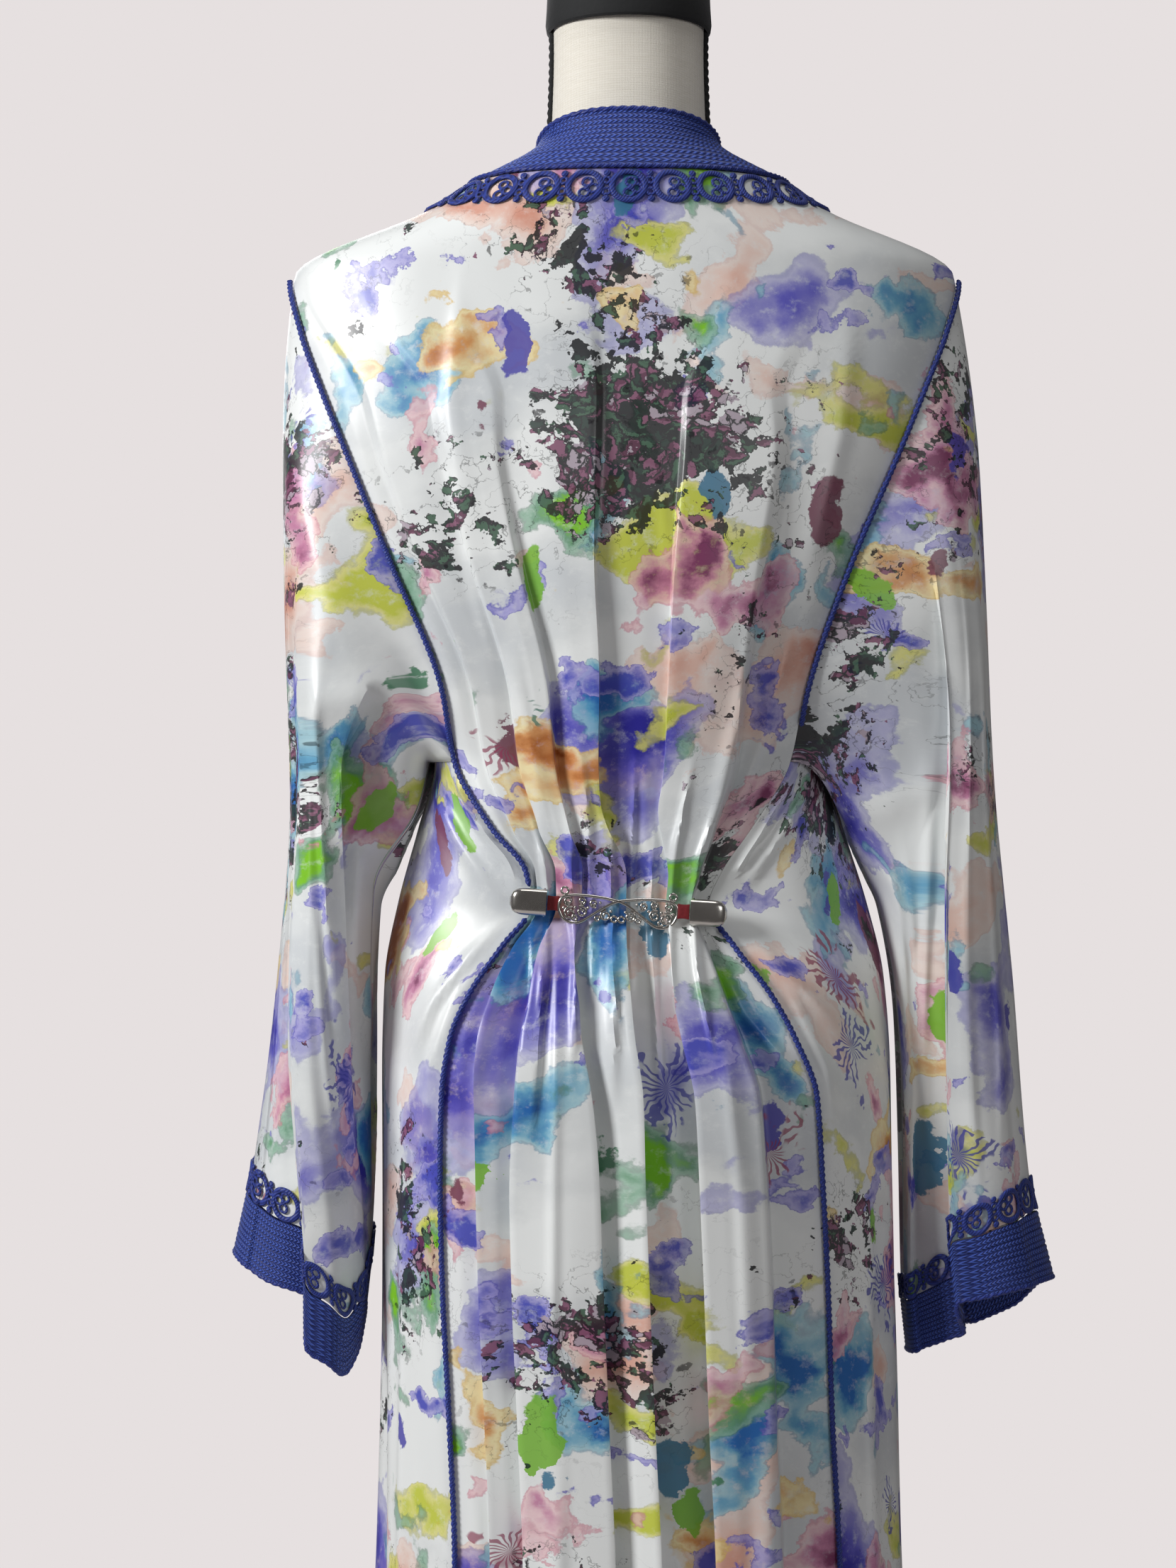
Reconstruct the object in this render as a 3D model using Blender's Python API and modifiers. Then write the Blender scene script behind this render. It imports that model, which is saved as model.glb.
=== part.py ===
"""A full-length kaftan of printed satin on a limbless dress form with its stand.

Metres, +Z up, floor at z = 0. The front of the garment faces -Y and its back faces +Y.
"left" and "right" are the wearer's own, and also as seen from behind: left is +X, right is -X.
The cloth is a wall made through level sections. Each section is half a rounded oval at the
back and half at the front, read from the tables of sizes, and the folds stand on top of it.
"""

import math
from collections import namedtuple

import bmesh
import bpy
from mathutils import Vector
from mathutils.bvhtree import BVHTree

# Driving sizes of the cloth
CLOTH = 0.0015
BAND_CLOTH = 0.0028
BAND_PROUD = 0.0010
TRIM_CLOTH = 0.0016
TRIM_LIFT = 0.0006
TRIM_CLEAR = 0.0008
PIPE_LIFT = 0.0008
ARMHOLE_PIPE_LIFT = 0.0024
SEAM_GAP = 0.0003
ROUNDNESS = 2.3
FRONT_ROUNDNESS = 2.2

# Heights that the pieces share
HEM = 0.035
CLIP_Z = 1.005
UNDERARM_Z = 1.108
SHOULDER_Z = 1.466
BAND_EDGE_Z = 1.530
SCROLL_EDGE_Z = 1.5035
NECK_RIDGE_Z = 1.563
NECK_BACK_Z = 1.5765
V_POINT_Z = 1.331
FRONT_EDGE = 0.0020
FRONT_BAND_WIDTH = 0.032

# The levels of the rows that every body piece shares, so that their seams run side by side
YOKE_LEVELS = [1.528, 1.522, 1.511, 1.493]
ARMHOLE_LEVELS = [1.466, 1.444, 1.420, 1.383, 1.331, 1.290, 1.250, 1.205, 1.161, 1.134, 1.108]
SKIRT_LEVELS = [1.083, 1.060, 1.040, 1.020, 1.004, 0.988, 0.968, 0.944, 0.912, 0.870, 0.810,
                0.730, 0.630, 0.500, 0.350, 0.190, HEM]
BODY_LEVELS = YOKE_LEVELS + ARMHOLE_LEVELS + SKIRT_LEVELS
FRONT_COLUMNS = 9
GORE_COLUMNS = 6

# Level sections of the garment: half widths on both sides, depth behind and in front
Section = namedtuple("Section", "z half_left half_right back front")
SECTIONS = [
    Section(0.035, 0.222, 0.236, 0.150, 0.172),
    Section(0.300, 0.201, 0.217, 0.135, 0.158),
    Section(0.540, 0.185, 0.203, 0.126, 0.150),
    Section(0.730, 0.183, 0.198, 0.121, 0.146),
    Section(0.870, 0.183, 0.195, 0.113, 0.142),
    Section(0.950, 0.180, 0.188, 0.098, 0.138),
    Section(1.005, 0.170, 0.175, 0.080, 0.133),
    Section(1.060, 0.155, 0.158, 0.079, 0.130),
    Section(1.108, 0.143, 0.145, 0.084, 0.129),
    Section(1.161, 0.172, 0.166, 0.093, 0.129),
    Section(1.250, 0.211, 0.200, 0.102, 0.128),
    Section(1.331, 0.240, 0.230, 0.104, 0.119),
    Section(1.383, 0.249, 0.240, 0.101, 0.108),
    Section(1.420, 0.252, 0.244, 0.096, 0.098),
    Section(1.466, 0.2466, 0.240, 0.091, 0.088),
    Section(1.511, 0.151, 0.1485, 0.088, 0.080),
    Section(1.530, 0.1187, 0.1187, 0.0835, 0.075),
    Section(1.563, 0.0654, 0.0654, 0.0690, 0.063),
    Section(1.5765, 0.0640, 0.0640, 0.0640, 0.058),
]

# Where the piped edges of the centre back run, shoulder to hem
SeamPlace = namedtuple("SeamPlace", "z left right")
BACK_SEAMS = [
    SeamPlace(0.035, 0.130, -0.160),
    SeamPlace(0.300, 0.122, -0.151),
    SeamPlace(0.539, 0.1225, -0.1465),
    SeamPlace(0.650, 0.127, -0.141),
    SeamPlace(0.733, 0.1315, -0.1385),
    SeamPlace(0.816, 0.1335, -0.1345),
    SeamPlace(0.871, 0.1325, -0.131),
    SeamPlace(0.910, 0.127, -0.1165),
    SeamPlace(0.943, 0.113, -0.0985),
    SeamPlace(0.975, 0.091, -0.074),
    SeamPlace(1.005, 0.070, -0.056),
    SeamPlace(1.030, 0.074, -0.066),
    SeamPlace(1.060, 0.098, -0.087),
    SeamPlace(1.108, 0.1245, -0.116),
    SeamPlace(1.161, 0.1335, -0.1265),
    SeamPlace(1.250, 0.1695, -0.157),
    SeamPlace(1.331, 0.2024, -0.192),
    SeamPlace(1.383, 0.2233, -0.2135),
    SeamPlace(1.420, 0.2365, -0.228),
    SeamPlace(1.466, 0.2466, -0.240),
    SeamPlace(1.511, 0.151, -0.1485),
    SeamPlace(1.530, 0.1187, -0.1187),
]

# Folds of the centre back. Places are shares of the half width, from 1 at the left seam to
# -1 at the right one. falls says to which side the fold drops, high and low are the heights
# of its crest and foot in millimetres above the clip and below it.
Fold = namedtuple("Fold", "falls wide shoulder blade waist clip hip skirt hem "
                          "high_up low_up high_down low_down")
BACK_FOLDS = [
    Fold(1, 0.035, 0.80, 0.89, 0.82, 0.93, 0.84, 0.80, 0.82, 7, 1, 6, 4),
    Fold(1, 0.035, 0.58, 0.66, 0.62, 0.72, 0.58, 0.62, 0.64, 4, 2, 15, 4),
    Fold(-1, 0.045, 0.31, 0.45, 0.41, 0.44, 0.27, 0.18, 0.20, 9, 4, 17, 12),
    Fold(-1, 0.030, 0.05, 0.10, 0.16, -0.06, -0.05, -0.05, -0.04, 10, 4, 17, 2),
    Fold(1, 0.030, -0.18, -0.22, -0.25, -0.52, -0.36, -0.37, -0.36, 8, 5, 17, 3),
    Fold(-1, 0.070, -0.33, -0.60, -0.68, -0.80, -0.68, -0.70, -0.66, 10, 3, 14, 6),
]

# Folds of the fronts and side gores: how many waves, their depth, and an uneven shift
Waves = namedtuple("Waves", "count depth shift sway")
FRONT_WAVES = Waves(3.0, 0.0065, 0.15, 0.35)
GORE_WAVES = Waves(1.5, 0.0040, 0.10, 0.20)

# Sleeve sections: the outer and the inner edge, and the depth behind and in front
Slice = namedtuple("Slice", "share outer_x outer_z inner_x inner_z back front")
SLEEVE_LEFT = [
    Slice(0.00, 0.2466, 1.466, 0.1430, 1.108, 0.080, 0.090),
    Slice(0.12, 0.2550, 1.375, 0.1480, 1.066, 0.074, 0.092),
    Slice(0.30, 0.2535, 1.240, 0.1830, 1.000, 0.068, 0.092),
    Slice(0.50, 0.2500, 1.090, 0.1860, 0.915, 0.064, 0.092),
    Slice(0.70, 0.2600, 0.950, 0.1860, 0.825, 0.060, 0.090),
    Slice(0.90, 0.2760, 0.812, 0.1900, 0.730, 0.058, 0.088),
    Slice(1.00, 0.2900, 0.744, 0.1960, 0.672, 0.058, 0.088),
]
SLEEVE_RIGHT = [
    Slice(0.00, 0.2400, 1.466, 0.1450, 1.108, 0.078, 0.090),
    Slice(0.12, 0.2540, 1.375, 0.1500, 1.066, 0.074, 0.092),
    Slice(0.30, 0.2620, 1.240, 0.1850, 1.000, 0.068, 0.092),
    Slice(0.50, 0.2700, 1.090, 0.1980, 0.915, 0.064, 0.092),
    Slice(0.70, 0.2830, 0.945, 0.2010, 0.830, 0.060, 0.090),
    Slice(0.90, 0.2950, 0.805, 0.2030, 0.742, 0.058, 0.088),
    Slice(1.00, 0.3120, 0.730, 0.2080, 0.686, 0.058, 0.088),
]

# Lengthwise sleeve folds round the tube: place from 0 at the overarm over the back to 0.5 at
# the underarm, the step in millimetres, and how wide the step is
Step = namedtuple("Step", "place rise wide")
STEPS_LEFT = [Step(0.110, -5, 0.020), Step(0.285, 20, 0.016), Step(0.420, -9, 0.05),
              Step(0.640, 8, 0.03), Step(0.790, -11, 0.02), Step(0.900, 6, 0.05)]
STEPS_RIGHT = [Step(0.130, 7, 0.03), Step(0.270, -19, 0.016), Step(0.400, 9, 0.04),
               Step(0.620, 9, 0.03), Step(0.760, -12, 0.02), Step(0.880, 6, 0.05)]
BODY_CLEAR = 0.0075

# The scroll trim: roundels round the neck and round a cuff, and the depth of its scallops
NECK_ROUNDELS = 22
CUFF_ROUNDELS = 16
NECK_BACK_SHARE = 0.46
SHOULDER_SCROLL_Z = 1.511
SCROLL_SHARE = 0.036
SCALLOP = 0.16

# The dress form: half width, back and front at each level, under the garment
Ring = namedtuple("Ring", "z half back front")
FORM_RINGS = [
    Ring(0.740, 0.146, 0.082, 0.086),
    Ring(0.760, 0.154, 0.090, 0.094),
    Ring(0.860, 0.158, 0.096, 0.098),
    Ring(0.950, 0.146, 0.082, 0.092),
    Ring(1.030, 0.124, 0.066, 0.088),
    Ring(1.090, 0.118, 0.066, 0.090),
    Ring(1.160, 0.126, 0.078, 0.104),
    Ring(1.250, 0.140, 0.088, 0.116),
    Ring(1.331, 0.156, 0.090, 0.106),
    Ring(1.400, 0.176, 0.083, 0.090),
    Ring(1.450, 0.186, 0.074, 0.076),
    Ring(1.480, 0.182, 0.068, 0.068),
]
FORM_SHOULDERS = [(1.496, 0.0045), (1.511, 0.0045), (1.530, 0.0090)]
FORM_BACK_CLEAR = 0.012
FORM_FRONT_CLEAR = 0.019
NECK_RINGS = [
    Ring(1.549, 0.0680, 0.0600, 0.0520),
    Ring(1.563, 0.0585, 0.0560, 0.0540),
    Ring(1.590, 0.0565, 0.0540, 0.0530),
    Ring(1.630, 0.0555, 0.0530, 0.0520),
    Ring(1.664, 0.0560, 0.0540, 0.0530),
]
CAP_BASE_Z = 1.6643
CAP_PROFILE = [(0.0555, 0.0), (0.0590, 0.003), (0.0600, 0.010), (0.0585, 0.018),
               (0.0500, 0.027), (0.0330, 0.034), (0.0140, 0.037), (0.0, 0.0375)]
POLE_RADIUS = 0.0125
BASE_RADIUS = 0.150
BASE_THICK = 0.012

# The clasp at the back of the waist
CLASP_CENTRE_X = 0.0085
CLASP_CENTRE_Z = 1.0045
CLASP_TILT = math.radians(3.6)
CLASP_Y = 0.0897
CLASP_YAW = -0.042
JAW_LENGTH = 0.026
JAW_HEIGHT = 0.019
JAW_THICK = 0.011
JAW_OFFSET = 0.0640
TAB_LENGTH = 0.0085
TAB_HEIGHT = 0.0110
TAB_THICK = 0.0030
TAB_OFFSET = 0.0462
PLATE_HALF = 0.0415
PLATE_THICK = 0.0018
PLATE_LIFT = 0.0006
PIPE_RADIUS = 0.0020

SATIN = ("kaftan_satin", (0.86, 0.84, 0.86), 0.35, 0.0)
BLUE = ("blue_braid", (0.05, 0.09, 0.42), 0.6, 0.0)
LINEN = ("form_linen", (0.72, 0.68, 0.60), 0.85, 0.0)
BLACK = ("cap_black", (0.02, 0.02, 0.022), 0.8, 0.0)
STEEL = ("stand_steel", (0.06, 0.06, 0.065), 0.35, 0.9)
NICKEL = ("clasp_nickel", (0.72, 0.70, 0.66), 0.22, 1.0)
RED = ("tab_red", (0.30, 0.03, 0.04), 0.5, 0.0)


def clear_scene():
    for item in list(bpy.data.objects):
        bpy.data.objects.remove(item, do_unlink=True)


def material(look):
    name, colour, roughness, metallic = look
    found = bpy.data.materials.get(name)
    if found:
        return found
    made = bpy.data.materials.new(name)
    made.use_nodes = True
    shader = made.node_tree.nodes["Principled BSDF"]
    shader.inputs["Base Color"].default_value = (*colour, 1.0)
    shader.inputs["Roughness"].default_value = roughness
    shader.inputs["Metallic"].default_value = metallic
    return made


def smooth_step(value):
    share = min(1.0, max(0.0, value))
    return share * share * (3.0 - 2.0 * share)


def read(table, column, at, key="z"):
    """A table's column at any level, on a smooth curve that never overshoots its rows."""
    places = [getattr(row, key) for row in table]
    values = [getattr(row, column) for row in table]
    if at <= places[0]:
        return values[0]
    if at >= places[-1]:
        return values[-1]
    index = max(i for i in range(len(places) - 1) if places[i] <= at)
    slopes = [(values[i + 1] - values[i]) / (places[i + 1] - places[i])
              for i in range(len(places) - 1)]

    def tangent(i):
        if i == 0 or i == len(places) - 1:
            return slopes[min(i, len(slopes) - 1)]
        before, after = slopes[i - 1], slopes[i]
        return 0.0 if before * after <= 0 else 2.0 * before * after / (before + after)

    step = places[index + 1] - places[index]
    t = (at - places[index]) / step
    start, end = tangent(index) * step, tangent(index + 1) * step
    rise = values[index + 1] - values[index]
    return (values[index] + t * start + t * t * (3 * rise - 2 * start - end)
            + t * t * t * (start + end - 2 * rise))


def half_width(x, z):
    column = "half_left" if x >= 0 else "half_right"
    return read(SECTIONS, column, z)


def back_y(x, z):
    share = min(1.0, abs(x) / half_width(x, z))
    return read(SECTIONS, "back", z) * (1.0 - share ** ROUNDNESS) ** (1.0 / ROUNDNESS)


def front_y(x, z):
    share = min(1.0, abs(x) / half_width(x, z))
    return -read(SECTIONS, "front", z) * (1.0 - share ** FRONT_ROUNDNESS) ** (1.0 / FRONT_ROUNDNESS)


def side_point(side, turn, z):
    """A point round the side: turn is an angle from 0 at the side to a right angle at the
    centre back, and below 0 towards the front."""
    half = half_width(side, z)
    power = 2.0 / (ROUNDNESS if turn >= 0 else FRONT_ROUNDNESS)
    depth = read(SECTIONS, "back" if turn >= 0 else "front", z)
    x = side * half * abs(math.cos(turn)) ** power
    y = math.copysign(depth * abs(math.sin(turn)) ** power, turn)
    return Vector((x, y, z))


def turn_at(side, x, z, to_front=False):
    """The angle of side_point where the section passes a given x."""
    power = FRONT_ROUNDNESS if to_front else ROUNDNESS
    share = min(1.0, abs(x) / half_width(side, z))
    return math.acos(share ** (power / 2.0)) * (-1 if to_front else 1)


def side_normal(side, turn, z):
    """The outward direction of the plain body, the same for every piece that meets there."""
    ahead, behind = min(math.pi / 2, turn + 0.02), max(-math.pi / 2, turn - 0.02)
    across = side_point(side, ahead, z) - side_point(side, behind, z)
    along = side_point(side, turn, z + 0.002) - side_point(side, turn, z - 0.002)
    out = across.cross(along)
    middle = Vector((0, 0, z))
    if out.dot(side_point(side, turn, z) - middle) < 0:
        out.negate()
    return out.normalized()


def fold_level(fold, z):
    """Where a fold of the back runs at a level, as a share of the half width."""
    rows = [(HEM, fold.hem), (0.80, fold.skirt), (0.93, fold.hip), (CLIP_Z, fold.clip),
            (1.08, fold.waist), (1.30, fold.blade), (SHOULDER_Z, fold.shoulder)]
    Level = namedtuple("Level", "z place")
    return read([Level(*row) for row in rows], "place", z)


def fold_depth(z):
    """How much of the folds' full height there is above the clip and below it."""
    up = smooth_step((1.50 - z) / 0.36) * smooth_step((z - 0.990) / 0.06)
    down = smooth_step((1.03 - z) / 0.07) * (0.62 + 0.38 * smooth_step((0.98 - z) / 0.10))
    return up, down * (1.0 + 0.25 * smooth_step((0.6 - z) / 0.5))


def back_stations():
    """The lines that the back's columns follow: both seams, each fold's crest and foot, and
    one or two lines between them. Each is a function of the level: (share, height)."""
    anchors = [(lambda z: 1.0, 3.0, 3.0)]
    for fold in BACK_FOLDS:
        crest = (lambda z, f=fold: fold_level(f, z) - f.falls * f.wide / 2,
                 fold.high_up, fold.high_down)
        foot = (lambda z, f=fold: fold_level(f, z) + f.falls * f.wide / 2,
                fold.low_up, fold.low_down)
        anchors += [foot, crest] if fold.falls > 0 else [crest, foot]
    anchors.append((lambda z: -1.0, 3.0, 3.0))
    lines = [anchors[0]]
    for first, second in zip(anchors, anchors[1:]):
        between = 1 if abs(first[0](0.8) - second[0](0.8)) < 0.2 else 2
        if abs(first[0](0.8) - second[0](0.8)) < 0.09:
            between = 0
        for k in range(between):
            t = (k + 1) / (between + 1)
            swell = 1.5 * math.sin(math.pi * t)
            lines.append((lambda z, a=first, b=second, t=t: a[0](z) * (1 - t) + b[0](z) * t,
                          first[1] * (1 - t) + second[1] * t + swell,
                          first[2] * (1 - t) + second[2] * t + swell))
        lines.append(second)
    return lines


def back_point(line, z):
    share, high_up, high_down = line[0](z), line[1], line[2]
    crowd = smooth_step((z - 1.36) / 0.09)
    share = share * (1 - crowd) + math.sin(share * math.pi / 2) * crowd
    left, right = read(BACK_SEAMS, "left", z), read(BACK_SEAMS, "right", z)
    x = (left + right) / 2 + (left - right) / 2 * share
    up, down = fold_depth(z)
    height = ((high_up - 3.0) * up + (high_down - 3.0) * down) / 1000.0
    return Vector((x, back_y(x, z) + height, z))


def grid_normals(grid, closed=False, turned_over=False):
    rows, columns = len(grid), len(grid[0])
    normals = []
    for r in range(rows):
        line = []
        for c in range(columns):
            before = (c - 1) % columns if closed else max(0, c - 1)
            after = (c + 1) % columns if closed else min(columns - 1, c + 1)
            across = grid[r][after] - grid[r][before]
            along = grid[min(rows - 1, r + 1)][c] - grid[max(0, r - 1)][c]
            out = along.cross(across).normalized()
            line.append(-out if turned_over else out)
        normals.append(line)
    return normals


def new_object(name, mesh, look, parts):
    made = bpy.data.objects.new(name, mesh)
    made.data.materials.clear()
    made.data.materials.append(material(look))
    parts.objects.link(made)
    return made


def wall(name, grid, normals, parts, look, thick=CLOTH, lift=0.0, closed=False, holes=()):
    """A closed wall over a grid of outer points: its outer side, its inner side one
    thickness in, and rims along the edges and round every hole. holes lists the grid's
    faces that are left open."""
    rows, columns = len(grid), len(grid[0])
    shape = bmesh.new()
    outer = [[shape.verts.new(grid[r][c] + normals[r][c] * lift) for c in range(columns)]
             for r in range(rows)]
    inner = [[shape.verts.new(grid[r][c] + normals[r][c] * (lift - thick))
              for c in range(columns)] for r in range(rows)]
    skipped = set(holes)
    spans = columns if closed else columns - 1
    kept = {(r, c) for r in range(rows - 1) for c in range(spans)} - skipped
    for r, c in kept:
        n = (c + 1) % columns
        shape.faces.new((outer[r][c], outer[r + 1][c], outer[r + 1][n], outer[r][n]))
        shape.faces.new((inner[r][c], inner[r][n], inner[r + 1][n], inner[r + 1][c]))
        before = (c - 1) % spans if closed else c - 1
        after = (c + 1) % spans if closed else c + 1
        sides = [((r, before), (r, c), (r + 1, c)), ((r, after), (r + 1, n), (r, n)),
                 ((r - 1, c), (r, n), (r, c)), ((r + 1, c), (r + 1, c), (r + 1, n))]
        for neighbour, (ra, ca), (rb, cb) in sides:
            if neighbour not in kept:
                shape.faces.new((outer[rb][cb], outer[ra][ca], inner[ra][ca], inner[rb][cb]))
    bare = [v for v in shape.verts if not v.link_faces]
    bmesh.ops.delete(shape, geom=bare, context="VERTS")
    bmesh.ops.recalc_face_normals(shape, faces=shape.faces)
    if shape.calc_volume(signed=True) < 0:
        bmesh.ops.reverse_faces(shape, faces=shape.faces)
    bmesh.ops.triangulate(shape, faces=shape.faces, quad_method="FIXED")
    mesh = bpy.data.meshes.new(name)
    shape.to_mesh(mesh)
    shape.free()
    return new_object(name, mesh, look, parts)


def seam_name(side):
    return "left" if side > 0 else "right"


def back_panel(parts):
    levels = [BAND_EDGE_Z] + BODY_LEVELS
    lines = back_stations()
    grid = [[back_point(line, z) for line in lines] for z in levels]
    normals = grid_normals(grid)
    last = len(lines) - 1
    for r, z in enumerate(levels):
        for c in range(last + 1) if r == 0 else (0, last):
            side = 1 if grid[r][c].x >= 0 else -1
            normals[r][c] = side_normal(side, turn_at(side, grid[r][c].x, z), z)
        for c, side in ((0, 1), (last, -1)):
            along = (0, SEAM_GAP / 2, 0) if z >= SHOULDER_Z else (-side * SEAM_GAP / 2, 0, 0)
            grid[r][c] = grid[r][c] + Vector(along)
    return wall("back_panel", grid, normals, parts, SATIN), [point.x for point in grid[0]]


def front_seam_x(side, z):
    """The front's outer edge: the armhole above the underarm, the gore's seam below it."""
    if z >= SHOULDER_Z:
        return abs(read(BACK_SEAMS, "left" if side > 0 else "right", z))
    edge = read(BACK_SEAMS, "left" if side > 0 else "right", z)
    armhole = abs(edge)
    skirt = 0.118 + 0.030 * smooth_step((UNDERARM_Z - z) / 0.9)
    return armhole + (skirt - armhole) * smooth_step((1.20 - z) / 0.14)


def neckline_x(z):
    """The front's inner edge: the outer edge of the band from the shoulder to the V point,
    and the edge of the straight band below it."""
    straight = FRONT_EDGE + FRONT_BAND_WIDTH
    share = max(0.0, (z - V_POINT_Z) / (BAND_EDGE_Z - V_POINT_Z))
    return straight + (0.1187 - straight) * share ** 1.15


def wave_height(waves, share, z):
    """Soft uneven folds that grow towards the hem."""
    grown = smooth_step((1.30 - z) / 0.9)
    bend = share + waves.sway * math.sin(math.pi * share) * 0.25
    turn = 2 * math.pi * (waves.count * bend + waves.shift)
    shape = math.sin(turn) * 0.75 + 0.25 * math.sin(2.1 * turn + 0.8)
    return waves.depth * grown * shape * math.sin(math.pi * share) ** 0.5


def front_point(side, share, z):
    """A point of a front panel: share runs from 0 at the outer seam to 1 at the opening."""
    outer, inner = front_seam_x(side, z), neckline_x(z)
    crowd = smooth_step((z - 1.36) / 0.09)
    eased = share * (1 - crowd) + (1 - math.cos(share * math.pi / 2)) * crowd
    x = side * (outer + (inner - outer) * eased)
    y = front_y(x, z) - wave_height(FRONT_WAVES, share, z)
    return Vector((x, y, z))


def front_panel(side, parts):
    grid, normals = [], []
    for z in BODY_LEVELS:
        row = [front_point(side, c / FRONT_COLUMNS, z) for c in range(FRONT_COLUMNS + 1)]
        outs = [side_normal(side, turn_at(side, point.x, z, to_front=True), z)
                for point in row]
        along = (0, -SEAM_GAP / 2, 0) if z >= SHOULDER_Z else (-side * SEAM_GAP, 0, 0)
        row[0] = row[0] + Vector(along)
        row[-1] = row[-1] + Vector((side * SEAM_GAP, 0, 0))
        grid.append(row)
        normals.append(outs)
    return wall(f"front_panel_{seam_name(side)}", grid, normals, parts, SATIN)


def gore_row(side, z):
    start = turn_at(side, read(BACK_SEAMS, seam_name(side), z), z)
    end = turn_at(side, front_seam_x(side, z), z, to_front=True)
    row, outs = [], []
    for c in range(GORE_COLUMNS + 1):
        share = c / GORE_COLUMNS
        turn = start + (end - start) * share
        out = side_normal(side, turn, z)
        row.append(side_point(side, turn, z) + out * wave_height(GORE_WAVES, share, z))
        outs.append(out)
    return row, outs


def gore(side, parts):
    grid, normals = [], []
    for z in [UNDERARM_Z] + SKIRT_LEVELS:
        row, outs = gore_row(side, z)
        row[0] = row[0] + Vector((side * SEAM_GAP / 2, 0, 0))
        row[-1] = row[-1] + Vector((side * SEAM_GAP / 2, 0, 0))
        grid.append(row)
        normals.append(outs)
    wall(f"gore_{seam_name(side)}", grid, normals, parts, SATIN)


SLEEVE_SHARES = [0.0, 0.03, 0.07, 0.12, 0.19, 0.27, 0.36, 0.46, 0.56, 0.66, 0.76, 0.85, 0.935]
SIDE_SPAN = 0.44
UNDERARM_STAND_OFF = 0.0045


def armhole(side):
    """The armhole seam as a loop: for each point its place round the sleeve, from 0 at the
    shoulder over the back to 0.5 at the underarm, the point, its outward direction, and how
    far the sleeve first stands off there, so that it hangs clear of the gore."""
    loop = []
    still = Vector((0, 0, 0))
    for z in ARMHOLE_LEVELS:
        share = (SHOULDER_Z - z) / (SHOULDER_Z - UNDERARM_Z)
        place = SIDE_SPAN * math.acos(1 - 2 * share) / math.pi
        turn = turn_at(side, read(BACK_SEAMS, seam_name(side), z), z)
        loop.append([place, side_point(side, turn, z), side_normal(side, turn, z), still])
    row, outs = gore_row(side, UNDERARM_Z)
    for c in range(1, GORE_COLUMNS):
        place = SIDE_SPAN + (1 - 2 * SIDE_SPAN) * c / GORE_COLUMNS
        loop.append([place, row[c], Vector((0, 0, -1)), outs[c] * UNDERARM_STAND_OFF])
    for z in reversed(ARMHOLE_LEVELS[1:]):
        share = (SHOULDER_Z - z) / (SHOULDER_Z - UNDERARM_Z)
        place = 1 - SIDE_SPAN * math.acos(1 - 2 * share) / math.pi
        turn = turn_at(side, front_seam_x(side, z), z, to_front=True)
        loop.append([place, side_point(side, turn, z), side_normal(side, turn, z), still])
    for corner in (len(ARMHOLE_LEVELS) - 1, len(ARMHOLE_LEVELS) + GORE_COLUMNS - 1):
        loop[corner][3] = loop[corner][2] * UNDERARM_STAND_OFF
        loop[corner][2] = (loop[corner][2] + Vector((0, 0, -1))).normalized()
    return loop


def sleeve_point(side, share, place):
    """A point of the sleeve tube: share 0 at the armhole and 1 at the end of the cuff."""
    table = SLEEVE_LEFT if side > 0 else SLEEVE_RIGHT
    steps = STEPS_LEFT if side > 0 else STEPS_RIGHT
    values = [read(table, name, share, "share") for name in Slice._fields[1:]]
    outer_x, outer_z, inner_x, inner_z, back, front = values
    angle = 2 * math.pi * place
    across = (1 - math.cos(angle)) / 2
    x = outer_x + (inner_x - outer_x) * across
    z = outer_z + (inner_z - outer_z) * across
    depth = back if math.sin(angle) >= 0 else front
    y = depth * math.copysign(abs(math.sin(angle)) ** 0.85, math.sin(angle))
    fold = sum(step.rise * smooth_step((place - step.place) / step.wide + 0.5)
               * (1 - smooth_step((place - step.place - 0.11) / 0.12)) for step in steps)
    grown = smooth_step((share - 0.06) / 0.40)
    y += math.copysign(1.0, math.sin(angle)) * fold / 1000.0 * grown * abs(math.sin(angle)) ** 0.6
    if z < UNDERARM_Z + 0.02:
        depth_share = min(0.999, abs(y) / read(SECTIONS, "back" if y > 0 else "front", z))
        body = half_width(side, z) * (1 - depth_share ** ROUNDNESS) ** (1 / ROUNDNESS)
        limit = body + BODY_CLEAR * smooth_step((UNDERARM_Z + 0.02 - z) / 0.05)
        x = max(x, limit)
    return Vector((side * x, y, z))


def sleeve_grid(side, shares):
    grid = []
    for share in shares:
        blend = smooth_step(share / 0.17)
        stand_off = min(1.0, share / SLEEVE_SHARES[1])
        grid.append([(held + push * stand_off) * (1 - blend)
                     + sleeve_point(side, share, place) * blend
                     for place, held, out, push in armhole(side)])
    return grid


def sleeve(side, parts):
    grid = sleeve_grid(side, SLEEVE_SHARES)
    normals = grid_normals(grid, closed=True, turned_over=side < 0)
    for k, (place, held, out, push) in enumerate(armhole(side)):
        under = held.z < UNDERARM_Z + 0.001
        away = Vector((side, 0, 3)) if under else Vector((side, 0, 0))
        grid[0][k] = held + away * SEAM_GAP
        normals[0][k] = out
    return wall(f"sleeve_{seam_name(side)}", grid, normals, parts, SATIN, closed=True)


def cuff(side, parts):
    start = SLEEVE_SHARES[-1]
    grid = sleeve_grid(side, [start + 0.001, (start + 1.0) / 2, 1.0])
    normals = grid_normals(grid, closed=True, turned_over=side < 0)
    wall(f"cuff_{seam_name(side)}", grid, normals, parts, BLUE, thick=BAND_CLOTH,
         lift=BAND_PROUD, closed=True)


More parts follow.
